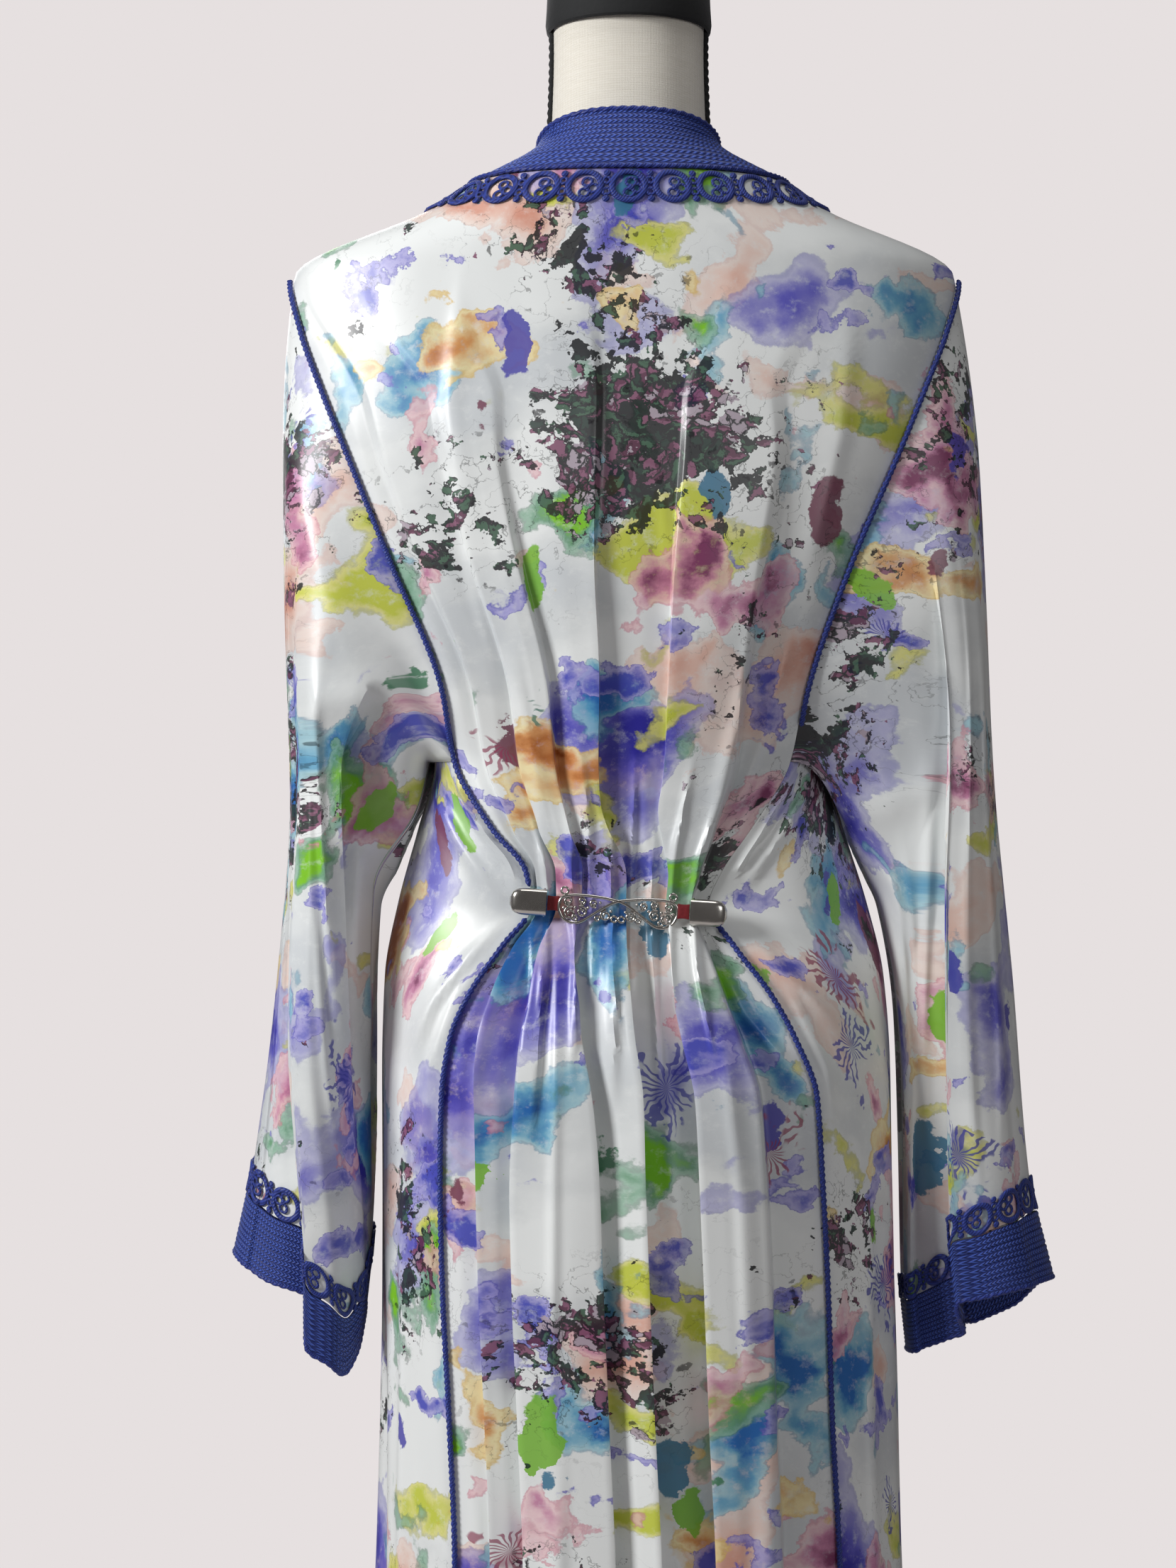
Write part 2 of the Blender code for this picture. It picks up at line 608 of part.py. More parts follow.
def form_torso(parts):
    rings = list(FORM_RINGS)
    for z, clear in FORM_SHOULDERS:
        half = min(half_width(1, z), half_width(-1, z)) - clear
        rings.append(Ring(z, half, read(SECTIONS, "back", z) - FORM_BACK_CLEAR,
                          read(SECTIONS, "front", z) - FORM_FRONT_CLEAR))
    rings += NECK_RINGS
    around = 20
    shape = bmesh.new()
    loops = []
    for ring in rings:
        loop = []
        for k in range(around):
            angle = 2 * math.pi * k / around
            across, deep = math.cos(angle), math.sin(angle)
            x = ring.half * math.copysign(abs(across) ** (2 / 2.2), across)
            depth = ring.back if deep >= 0 else ring.front
            y = depth * math.copysign(abs(deep) ** (2 / 2.2), deep)
            loop.append(shape.verts.new((x, y, ring.z)))
        loops.append(loop)
    for low, high in zip(loops, loops[1:]):
        for k in range(around):
            n = (k + 1) % around
            shape.faces.new((low[k], low[n], high[n], high[k]))
    shape.faces.new(list(reversed(loops[0])))
    shape.faces.new(loops[-1])
    mesh = bpy.data.meshes.new("form_torso")
    shape.to_mesh(mesh)
    shape.free()
    made = new_object("form_torso", mesh, LINEN, parts)
    mesh.shade_smooth()
    mesh.set_sharp_from_angle(angle=math.radians(50))
    return made


def turned(name, profile, base_z, look, parts, steps=24):
    """A turned piece: its outer profile, top to bottom, spun about the upright axis."""
    mesh = bpy.data.meshes.new(name)
    points = [(radius, 0.0, base_z + height) for radius, height in profile]
    mesh.from_pydata(points, [(i, i + 1) for i in range(len(points) - 1)], [])
    made = new_object(name, mesh, look, parts)
    spin = made.modifiers.new("spin", "SCREW")
    spin.steps = steps
    spin.render_steps = steps
    spin.use_merge_vertices = True
    spin.merge_threshold = 0.00005
    return made


def stand(parts):
    cap = list(reversed([(0.0, 0.0)] + CAP_PROFILE))
    turned("form_neck_cap", cap, CAP_BASE_Z, BLACK, parts)
    form_bottom = FORM_RINGS[0].z
    pole_length = form_bottom - SEAM_GAP - BASE_THICK - SEAM_GAP
    pole = [(0.0, pole_length), (POLE_RADIUS, pole_length), (POLE_RADIUS, 0.030),
            (0.024, 0.022), (0.026, 0.0), (0.0, 0.0)]
    turned("stand_pole", pole, BASE_THICK + SEAM_GAP, STEEL, parts, steps=20)
    plate = [(0.0, BASE_THICK), (BASE_RADIUS - 0.004, BASE_THICK), (BASE_RADIUS, BASE_THICK - 0.004),
             (BASE_RADIUS, 0.0), (0.0, 0.0)]
    turned("stand_base", plate, 0.0, STEEL, parts, steps=40)


def back_rib(side, x):
    """A line across the band behind the neck, from its upper edge to its lower one."""
    turn = turn_at(side, x, BAND_EDGE_Z)
    upper = NECK_RIDGE_Z + (NECK_BACK_Z - NECK_RIDGE_Z) * math.sin(turn)
    levels = (upper, (upper + BAND_EDGE_Z) / 2, BAND_EDGE_Z + SEAM_GAP)
    return ([side_point(side, turn, z) for z in levels],
            [side_normal(side, turn, z) for z in levels])


def front_rib(side, z):
    """A line across the band in front, from its inner edge to the panel's edge at z."""
    down = (BAND_EDGE_Z - z) / (BAND_EDGE_Z - V_POINT_Z)
    inner_z = NECK_RIDGE_Z + (V_POINT_Z - NECK_RIDGE_Z) * down
    inner_x = FRONT_EDGE + (0.0654 - FRONT_EDGE) * (1 - down) ** 1.25
    outer_x = neckline_x(z)
    points, outs = [], []
    for across in (0, 0.5, 1):
        x = inner_x + (outer_x - inner_x) * across
        level = inner_z + (z - inner_z) * across
        turn = turn_at(side, x, level, to_front=True)
        points.append(side_point(side, turn, level))
        outs.append(side_normal(side, turn, level))
    return points, outs


def collar_band(back_places, parts):
    front_levels = [z for z in BODY_LEVELS if z >= V_POINT_Z]
    ribs = [front_rib(1, z) for z in reversed(front_levels)]
    ribs += [back_rib(1 if x >= 0 else -1, x) for x in back_places]
    ribs += [front_rib(-1, z) for z in front_levels]
    grid = [list(row) for row in zip(*[points for points, outs in ribs])]
    normals = [list(row) for row in zip(*[outs for points, outs in ribs])]
    wall("collar_band", grid, normals, parts, BLUE, thick=BAND_CLOTH, lift=BAND_PROUD)


def front_band(side, parts):
    levels = [V_POINT_Z - SEAM_GAP] + [z for z in BODY_LEVELS if z < V_POINT_Z]
    grid, normals = [], []
    for z in levels:
        places = (FRONT_EDGE + FRONT_BAND_WIDTH - SEAM_GAP, FRONT_EDGE)
        turns = [turn_at(side, x, z, to_front=True) for x in places]
        grid.append([side_point(side, turn, z) for turn in turns])
        normals.append([side_normal(side, turn, z) for turn in turns])
    wall(f"front_band_{seam_name(side)}", grid, normals, parts, BLUE, thick=BAND_CLOTH,
         lift=BAND_PROUD)


ROUNDEL_LINES = (0.0, 0.20, 0.52)
ROUNDEL_ROWS = (0.0, 0.24, 0.76, 1.0)
ROUNDEL_GAP = (1, 1)


def skin_of(pieces):
    """A search tree of the faces of some finished pieces."""
    points, faces = [], []
    for piece in pieces:
        start = len(points)
        points += [vertex.co.copy() for vertex in piece.data.vertices]
        faces += [[start + i for i in face.vertices] for face in piece.data.polygons]
    return BVHTree.FromPolygons(points, faces)


def laid_on(skin, point, out):
    """The point moved along its outward direction onto the outermost face there."""
    hit = skin.ray_cast(point + out * 0.012, -out, 0.03)[0]
    return hit if hit is not None else point


def settle(skin, grid, normals, closed, lift):
    """How far each point of a strip stands off, so that its faces clear what lies under."""
    rows, columns = len(grid), len(grid[0])
    lifts = [[lift] * columns for _ in range(rows)]
    shares = (0.0, 0.25, 0.5, 0.75, 1.0)
    for _ in range(20):
        moved = False
        for r in range(rows - 1):
            for c in range(columns if closed else columns - 1):
                n = (c + 1) % columns
                corners = [(r, c), (r, n), (r + 1, n), (r + 1, c)]
                held = [grid[i][j] + normals[i][j] * lifts[i][j] for i, j in corners]
                out = sum((normals[i][j] for i, j in corners), Vector()).normalized()
                short = 0.0
                for u in shares:
                    for v in shares:
                        point = (held[0].lerp(held[1], u)).lerp(held[3].lerp(held[2], u), v)
                        hit = skin.ray_cast(point + out * 0.010, -out, 0.03)[0]
                        if hit is not None:
                            short = max(short, TRIM_CLEAR - (point - hit).dot(out))
                if short > 0.00002:
                    moved = True
                    for i, j in corners:
                        lifts[i][j] += short
        if not moved:
            break
    return lifts


def scroll_trim(name, surface, skin, closed, roundels, parts):
    """A strip of roundels: surface(along, across) gives a point and its outward direction,
    along and across from 0 to 1. Each roundel has a gap beside its trefoil, and the free
    edge is scalloped between the roundels."""
    places = [(k + line) / roundels for k in range(roundels) for line in ROUNDEL_LINES]
    if not closed:
        places.append(1.0)
    grid, normals = [], []
    for across in ROUNDEL_ROWS:
        row, outs = [], []
        for place in places:
            within = abs((place * roundels + 0.5) % 1.0 - 0.5)
            dip = SCALLOP * (1 - smooth_step(within / 0.22)) if across == 1.0 else 0.0
            point, out = surface(place, across - dip)
            row.append(laid_on(skin, point, out))
            outs.append(out)
        grid.append(row)
        normals.append(outs)
    holes = [(ROUNDEL_GAP[0], k * len(ROUNDEL_LINES) + ROUNDEL_GAP[1]) for k in range(roundels)]
    lifts = settle(skin, grid, normals, closed, TRIM_LIFT)
    grid = [[point + out * lift for point, out, lift in zip(*line)]
            for line in zip(grid, normals, lifts)]
    wall(name, grid, normals, parts, BLUE, thick=TRIM_CLOTH, lift=TRIM_CLOTH,
         closed=closed, holes=holes)


def neck_scroll(panels, parts):
    """The scroll trim below the band, from one side of the V point over the back."""
    def surface(along, across):
        place = 1 - 2 * along
        side = 1 if place >= 0 else -1
        share = abs(place)
        if share <= NECK_BACK_SHARE:
            turn = math.pi / 2 * (1 - share / NECK_BACK_SHARE)
            lower = SCROLL_EDGE_Z + (SHOULDER_SCROLL_Z - SCROLL_EDGE_Z) * (1 - math.sin(turn))
            z = BAND_EDGE_Z - 0.0004 + (lower - BAND_EDGE_Z) * across
            return side_point(side, turn, z), side_normal(side, turn, z)
        down = (share - NECK_BACK_SHARE) / (1 - NECK_BACK_SHARE)
        z = BAND_EDGE_Z - 0.0004 + (V_POINT_Z + 0.030 - BAND_EDGE_Z) * down
        x = neckline_x(z) + 0.0014
        away = 0.0305 + (0.022 - 0.0305) * smooth_step(down * 3)
        x += away * across * (0.75 + 0.2 * (1 - down))
        z -= away * across * (0.60 - 0.15 * down)
        turn = turn_at(side, x, z, to_front=True)
        return side_point(side, turn, z), side_normal(side, turn, z)
    scroll_trim("neck_scroll_trim", surface, skin_of(panels), False, NECK_ROUNDELS, parts)


def cuff_scroll(side, hung, parts):
    """The scroll trim round the sleeve, just above the cuff."""
    def surface(along, across):
        share = SLEEVE_SHARES[-1] - 0.0050 - SCROLL_SHARE * across
        d = 0.004
        point = sleeve_point(side, share, along % 1.0)
        after = sleeve_point(side, share, (along + d) % 1.0)
        before = sleeve_point(side, share, (along - d) % 1.0)
        below = sleeve_point(side, share + 0.01, along % 1.0)
        out = (below - point).cross(after - before).normalized()
        return point, out if side > 0 else -out
    scroll_trim(f"cuff_scroll_{seam_name(side)}", surface, skin_of([hung]), True,
                CUFF_ROUNDELS, parts)


def box_piece(name, size, centre, turn, rounding, look, parts, segments=2):
    bpy.ops.mesh.primitive_cube_add(size=1.0)
    made = bpy.context.object
    made.name = name
    made.data.name = name
    made.scale = size
    bpy.ops.object.transform_apply(location=False, rotation=False, scale=True)
    made.location = centre
    made.rotation_euler = (0, turn, CLASP_YAW)
    soft = made.modifiers.new("soft_edges", "BEVEL")
    soft.width = rounding
    soft.segments = segments
    made.data.materials.clear()
    made.data.materials.append(material(look))
    for home in list(made.users_collection):
        home.objects.unlink(made)
    parts.objects.link(made)
    return made


def clasp_place(along, up=0.0):
    """A point on the tilted clasp: along is measured to the left of its centre."""
    x = CLASP_CENTRE_X + along * math.cos(CLASP_TILT) - up * math.sin(CLASP_TILT)
    z = CLASP_CENTRE_Z + along * math.sin(CLASP_TILT) + up * math.cos(CLASP_TILT)
    return Vector((x, CLASP_Y + along * math.sin(CLASP_YAW), z))


def clasp(parts):
    for side in (1, -1):
        where = seam_name(side)
        box_piece(f"clasp_jaw_{where}", (JAW_LENGTH, JAW_THICK, JAW_HEIGHT),
                  clasp_place(side * JAW_OFFSET), -CLASP_TILT, 0.0045, NICKEL, parts, 3)
        box_piece(f"clasp_tab_{where}", (TAB_LENGTH, TAB_THICK, TAB_HEIGHT),
                  clasp_place(side * TAB_OFFSET), -CLASP_TILT, 0.0008, RED, parts, 1)
    filigree(parts)


# Openings of the pierced plate: centre along and up from its middle, half sizes and slant
Opening = namedtuple("Opening", "along up half_long half_high slant")
PLATE_OPENINGS = [
    Opening(0.0290, 0.0045, 0.0085, 0.0030, -8), Opening(0.0330, -0.0060, 0.0048, 0.0042, 10),
    Opening(0.0170, -0.0060, 0.0068, 0.0034, -30), Opening(0.0125, 0.0030, 0.0058, 0.0022, -8),
    Opening(0.0055, -0.0078, 0.0040, 0.0036, 0), Opening(-0.0055, -0.0078, 0.0040, 0.0036, 0),
    Opening(-0.0125, 0.0030, 0.0058, 0.0022, 8), Opening(-0.0170, -0.0060, 0.0068, 0.0034, 30),
    Opening(-0.0290, 0.0045, 0.0085, 0.0030, 8), Opening(-0.0330, -0.0060, 0.0048, 0.0042, -10),
]


def filigree(parts):
    """The pierced plate between the tabs: a flat outline with its openings."""
    flat = bpy.data.curves.new("clasp_filigree", "CURVE")
    flat.dimensions = "2D"
    flat.fill_mode = "BOTH"
    flat.extrude = PLATE_THICK / 2
    rim = []
    for k in range(32):
        angle = 2 * math.pi * k / 32
        across, deep = math.cos(angle), math.sin(angle)
        along = PLATE_HALF * math.copysign(abs(across) ** 0.75, across)
        swell = 1.0 + 0.10 * math.cos(2 * math.pi * along / 0.040)
        rim.append((along, 0.0125 * math.copysign(abs(deep) ** 0.45, deep) * swell - 0.0015))
    loops = [rim]
    for hole in PLATE_OPENINGS:
        slant = math.radians(hole.slant)
        loop = []
        for k in range(8):
            angle = 2 * math.pi * k / 8
            long, high = hole.half_long * math.cos(angle), hole.half_high * math.sin(angle)
            loop.append((hole.along + long * math.cos(slant) - high * math.sin(slant),
                         hole.up + long * math.sin(slant) + high * math.cos(slant)))
        loops.append(loop)
    for loop in loops:
        spline = flat.splines.new("POLY")
        spline.points.add(len(loop) - 1)
        for point, (along, up) in zip(spline.points, loop):
            point.co = (along, up, 0.0, 1.0)
        spline.use_cyclic_u = True
    sketch = bpy.data.objects.new("clasp_filigree_sketch", flat)
    parts.objects.link(sketch)
    sketch.rotation_euler = (math.pi / 2, -CLASP_TILT, CLASP_YAW)
    sketch.location = clasp_place(0.0) + Vector((0, PLATE_LIFT, 0))
    bpy.context.view_layer.update()
    seen = sketch.evaluated_get(bpy.context.evaluated_depsgraph_get())
    mesh = bpy.data.meshes.new_from_object(seen)
    mesh.transform(sketch.matrix_world)
    bpy.data.objects.remove(sketch)
    shape = bmesh.new()
    shape.from_mesh(mesh)
    bmesh.ops.remove_doubles(shape, verts=shape.verts, dist=0.00001)
    bmesh.ops.recalc_face_normals(shape, faces=shape.faces)
    shape.to_mesh(mesh)
    shape.free()
    mesh.name = "clasp_filigree"
    new_object("clasp_filigree", mesh, NICKEL, parts)


def piping(name, side, top, bottom, lift, parts):
    levels = [z for z in BODY_LEVELS if bottom < z < top]
    levels = [top] + levels + [bottom]
    line = []
    for z in levels:
        turn = turn_at(side, read(BACK_SEAMS, seam_name(side), z), z)
        out = side_normal(side, turn, z)
        line.append(side_point(side, turn, z) + out * (PIPE_RADIUS + lift))
    curve = bpy.data.curves.new(name, "CURVE")
    curve.dimensions = "3D"
    curve.bevel_depth = PIPE_RADIUS
    curve.bevel_resolution = 1
    curve.use_fill_caps = True
    spline = curve.splines.new("POLY")
    spline.points.add(len(line) - 1)
    for point, place in zip(spline.points, line):
        point.co = (*place, 1.0)
    return new_object(name, curve, BLUE, parts)


def main():
    clear_scene()
    parts = bpy.data.collections.new("kaftan_on_dress_form")
    bpy.context.scene.collection.children.link(parts)
    back, neck_places = back_panel(parts)
    panels = [back]
    for side in (1, -1):
        panels.append(front_panel(side, parts))
        gore(side, parts)
        hung = sleeve(side, parts)
        cuff(side, parts)
        front_band(side, parts)
        cuff_scroll(side, hung, parts)
    collar_band(neck_places, parts)
    neck_scroll(panels, parts)
    clasp(parts)
    form_torso(parts)
    stand(parts)
    piping("piping_left_upper", 1, 1.462, 1.026, ARMHOLE_PIPE_LIFT, parts)
    piping("piping_left_lower", 1, 0.984, HEM + 0.002, PIPE_LIFT, parts)
    piping("piping_right_upper", -1, 1.462, 1.134, ARMHOLE_PIPE_LIFT, parts)
    piping("piping_right_lower", -1, 0.984, HEM + 0.002, PIPE_LIFT, parts)


main()
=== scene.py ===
import math

import bpy
import numpy as np
from mathutils import Matrix, Vector, noise
from mathutils.bvhtree import BVHTree


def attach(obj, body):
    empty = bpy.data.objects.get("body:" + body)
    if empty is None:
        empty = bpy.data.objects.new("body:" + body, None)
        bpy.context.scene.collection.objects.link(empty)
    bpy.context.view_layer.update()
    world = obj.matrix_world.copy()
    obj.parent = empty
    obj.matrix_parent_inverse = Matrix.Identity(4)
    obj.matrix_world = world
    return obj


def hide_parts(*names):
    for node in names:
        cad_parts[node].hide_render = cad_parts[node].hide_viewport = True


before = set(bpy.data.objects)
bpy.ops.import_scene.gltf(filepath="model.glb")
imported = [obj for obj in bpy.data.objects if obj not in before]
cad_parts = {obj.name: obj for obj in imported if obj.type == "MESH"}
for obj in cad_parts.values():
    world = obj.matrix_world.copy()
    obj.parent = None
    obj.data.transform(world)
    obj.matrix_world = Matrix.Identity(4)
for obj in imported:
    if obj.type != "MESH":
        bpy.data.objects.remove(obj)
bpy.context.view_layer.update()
print("frame loaded")


# small tools

def deselectAll():
    bpy.ops.object.select_all(action="DESELECT")


def useOnly(piece):
    deselectAll()
    piece.select_set(True)
    bpy.context.view_layer.objects.active = piece


def applyPlace(piece):
    useOnly(piece)
    bpy.ops.object.transform_apply(location=True, rotation=True, scale=True)


def applyAll(piece):
    useOnly(piece)
    for modifier in list(piece.modifiers):
        bpy.ops.object.modifier_apply(modifier=modifier.name)


def joinPieces(pieces, name):
    deselectAll()
    for piece in pieces:
        piece.select_set(True)
    bpy.context.view_layer.objects.active = pieces[0]
    if len(pieces) > 1:
        bpy.ops.object.join()
    joined = bpy.context.object
    joined.name = joined.data.name = name
    return joined


def dress(piece, look, nodes=()):
    piece.data.materials.clear()
    piece.data.materials.append(look)
    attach(piece, "root")
    if nodes:
        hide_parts(*nodes)
    return piece


def smoothStep(value):
    share = min(1.0, max(0.0, value))
    return share * share * (3.0 - 2.0 * share)


readBefore = {}


def readCurve(rows, column, at):
    # a column of a table at any place, on a smooth curve that never overshoots its rows
    key = (id(rows), column, round(at, 6))
    if key in readBefore:
        return readBefore[key]
    places = [row[0] for row in rows]
    values = [row[column] for row in rows]
    if at <= places[0]:
        result = values[0]
    elif at >= places[-1]:
        result = values[-1]
    else:
        index = max(i for i in range(len(places) - 1) if places[i] <= at)
        slopes = [(values[i + 1] - values[i]) / (places[i + 1] - places[i])
                  for i in range(len(places) - 1)]

        def tangent(i):
            if i == 0 or i == len(places) - 1:
                return slopes[min(i, len(slopes) - 1)]
            before, after = slopes[i - 1], slopes[i]
            return 0.0 if before * after <= 0 else 2.0 * before * after / (before + after)

        step = places[index + 1] - places[index]
        t = (at - places[index]) / step
        start, end = tangent(index) * step, tangent(index + 1) * step
        rise = values[index + 1] - values[index]
        result = (values[index] + t * start + t * t * (3 * rise - 2 * start - end)
                  + t * t * t * (start + end - 2 * rise))
    readBefore[key] = result
    return result


def sheetGrid(name, columns, rows, place, cut, shift=(0.0, 0.0), closed=False, pivotX=None,
              unfold=None):
    # a grid of cloth: place(u, v) puts every point, and the UV map is in metres of the cut
    deselectAll()
    bpy.ops.mesh.primitive_grid_add(x_subdivisions=columns, y_subdivisions=rows, size=1.0)
    piece = bpy.context.object
    piece.name = piece.data.name = name
    mesh = piece.data
    flat = np.empty(len(mesh.vertices) * 3)
    mesh.vertices.foreach_get("co", flat)
    flat = flat.reshape(-1, 3)
    corners = [(float(u), float(v)) for u, v in zip(flat[:, 0] + 0.5, 0.5 - flat[:, 1])]
    placed = [place(u, v) for u, v in corners]
    mesh.vertices.foreach_set("co", np.array([tuple(p) for p in placed]).ravel())
    spread = [unfold(u, v, point) if unfold else (u * cut[0], v * cut[1])
              for (u, v), point in zip(corners, placed)]
    owners = np.empty(len(mesh.loops), dtype=np.int32)
    mesh.loops.foreach_get("vertex_index", owners)
    uvs = np.array(spread)[owners] + np.array(shift)
    mesh.uv_layers.active.data.foreach_set("uv", uvs.ravel())
    useOnly(piece)
    if closed:
        bpy.ops.object.mode_set(mode="EDIT")
        bpy.ops.mesh.select_all(action="SELECT")
        bpy.ops.mesh.remove_doubles(threshold=0.00002)
        bpy.ops.object.mode_set(mode="OBJECT")
    mesh.update()
    middleX = pivotX if pivotX is not None else 0.0
    outward = 0.0
    for face in mesh.polygons:
        x, y, z = face.center
        outward += face.normal.dot(Vector((x - middleX, y, 0.0))) * face.area
    if outward < 0:
        mesh.flip_normals()
    return piece


def addWall(piece, thick, angle=50):
    wall = piece.modifiers.new("wall", "SOLIDIFY")
    wall.thickness = thick
    wall.offset = -1.0
    applyAll(piece)
    useOnly(piece)
    bpy.ops.object.shade_smooth_by_angle(angle=math.radians(angle))
    return piece


def skinOf(pieces):
    points, faces = [], []
    for piece in pieces:
        start = len(points)
        points += [vertex.co.copy() for vertex in piece.data.vertices]
        faces += [[start + i for i in face.vertices] for face in piece.data.polygons]
    return BVHTree.FromPolygons(points, faces)


def ontoSkin(skin, point, out, reach=0.02):
    hit = skin.ray_cast(point + out * reach, -out, reach * 2)[0]
    return hit if hit is not None else point


# the body's sections

body = {
    # height, half width left and right, depth behind and in front
    "sections": [(0.035, 0.222, 0.236, 0.150, 0.172), (0.300, 0.201, 0.217, 0.135, 0.158),
                 (0.540, 0.185, 0.203, 0.126, 0.150), (0.730, 0.183, 0.198, 0.121, 0.146),
                 (0.870, 0.183, 0.195, 0.113, 0.142), (0.950, 0.180, 0.188, 0.098, 0.138),
                 (1.005, 0.170, 0.175, 0.080, 0.133), (1.060, 0.155, 0.158, 0.079, 0.130),
                 (1.108, 0.143, 0.145, 0.084, 0.129), (1.161, 0.172, 0.166, 0.093, 0.129),
                 (1.250, 0.211, 0.200, 0.102, 0.128), (1.331, 0.240, 0.230, 0.104, 0.119),
                 (1.383, 0.249, 0.240, 0.101, 0.108), (1.420, 0.252, 0.244, 0.096, 0.098),
                 (1.466, 0.2466, 0.240, 0.091, 0.088), (1.511, 0.151, 0.1485, 0.088, 0.080),
                 (1.530, 0.1187, 0.1187, 0.0835, 0.075), (1.563, 0.0654, 0.0654, 0.0690, 0.063),
                 (1.5765, 0.0640, 0.0640, 0.0640, 0.058)],
    # height, and where the piped seams of the centre back run
    "seams": [(0.035, 0.130, -0.160), (0.300, 0.122, -0.151), (0.539, 0.1225, -0.1465),
              (0.650, 0.127, -0.141), (0.733, 0.1315, -0.1385), (0.816, 0.1335, -0.1345),
              (0.871, 0.1325, -0.131), (0.910, 0.127, -0.1165), (0.943, 0.113, -0.0985),
              (0.975, 0.091, -0.074), (1.005, 0.070, -0.056), (1.030, 0.074, -0.066),
              (1.060, 0.098, -0.087), (1.108, 0.1245, -0.116), (1.161, 0.1335, -0.1265),
              (1.250, 0.1695, -0.157), (1.331, 0.2024, -0.192), (1.383, 0.2233, -0.2135),
              (1.420, 0.2365, -0.228), (1.466, 0.2466, -0.240), (1.511, 0.151, -0.1485),
              (1.530, 0.1187, -0.1187)],
    "backRound": 2.3, "frontRound": 2.2, "hem": 0.035, "clip": 1.005, "underarm": 1.108,
    "shoulder": 1.466, "bandEdge": 1.530, "neckRidge": 1.563, "neckBack": 1.5765,
    "vPoint": 1.331, "frontEdge": 0.0020, "frontBandWide": 0.032, "cloth": 0.0011,
}


def seamX(side, z):
    return readCurve(body["seams"], 1 if side > 0 else 2, z)


def halfWidth(side, z):
    return readCurve(body["sections"], 1 if side >= 0 else 2, z)


def backY(x, z):
    power = body["backRound"]
    share = min(1.0, abs(x) / halfWidth(x, z))
    return readCurve(body["sections"], 3, z) * (1.0 - share ** power) ** (1.0 / power)


def frontY(x, z):
    power = body["frontRound"]
    share = min(1.0, abs(x) / halfWidth(x, z))
    return -readCurve(body["sections"], 4, z) * (1.0 - share ** power) ** (1.0 / power)


def sidePoint(side, turn, z):
    # turn is 0 at the side, a right angle at the centre back, and below 0 towards the front
    power = 2.0 / (body["backRound"] if turn >= 0 else body["frontRound"])
    depth = readCurve(body["sections"], 3 if turn >= 0 else 4, z)
    return Vector((side * halfWidth(side, z) * abs(math.cos(turn)) ** power,
                   math.copysign(depth * abs(math.sin(turn)) ** power, turn), z))


def turnAt(side, x, z, toFront=False):
    power = body["frontRound"] if toFront else body["backRound"]
    share = min(1.0, abs(x) / halfWidth(side, z))
    return math.acos(share ** (power / 2.0)) * (-1 if toFront else 1)


def sideNormal(side, turn, z):
    ahead, behind = min(math.pi / 2, turn + 0.02), max(-math.pi / 2, turn - 0.02)
    across = sidePoint(side, ahead, z) - sidePoint(side, behind, z)
    along = sidePoint(side, turn, z + 0.002) - sidePoint(side, turn, z - 0.002)
    out = across.cross(along)
    if out.dot(sidePoint(side, turn, z) - Vector((0, 0, z))) < 0:
        out.negate()
    return out.normalized()


def unevenness(point, scale, seed):
    # soft creases that run mostly up and down
    return noise.noise(Vector((point.x * scale, point.y * scale + seed, point.z * scale * 0.22)))


# shader tools

class Wire:
    # a socket that takes sums and products as plain expressions
    def __init__(self, tree, socket):
        self.tree, self.socket = tree, socket

    def combine(self, operation, first, second):
        joint = self.tree.nodes.new("ShaderNodeMath")
        joint.operation = operation
        for place, value in enumerate((first, second)):
            if isinstance(value, Wire):
                self.tree.links.new(value.socket, joint.inputs[place])
            elif value is not None:
                joint.inputs[place].default_value = value
        return Wire(self.tree, joint.outputs[0])

    def __add__(self, other): return self.combine("ADD", self, other)
    def __radd__(self, other): return self.combine("ADD", other, self)
    def __sub__(self, other): return self.combine("SUBTRACT", self, other)
    def __rsub__(self, other): return self.combine("SUBTRACT", other, self)
    def __mul__(self, other): return self.combine("MULTIPLY", self, other)
    def __rmul__(self, other): return self.combine("MULTIPLY", other, self)
    def __truediv__(self, other): return self.combine("DIVIDE", self, other)
    def __rtruediv__(self, other): return self.combine("DIVIDE", other, self)
    def __pow__(self, other): return self.combine("POWER", self, other)
    def __gt__(self, other): return self.combine("GREATER_THAN", self, other)
    def __lt__(self, other): return self.combine("LESS_THAN", self, other)


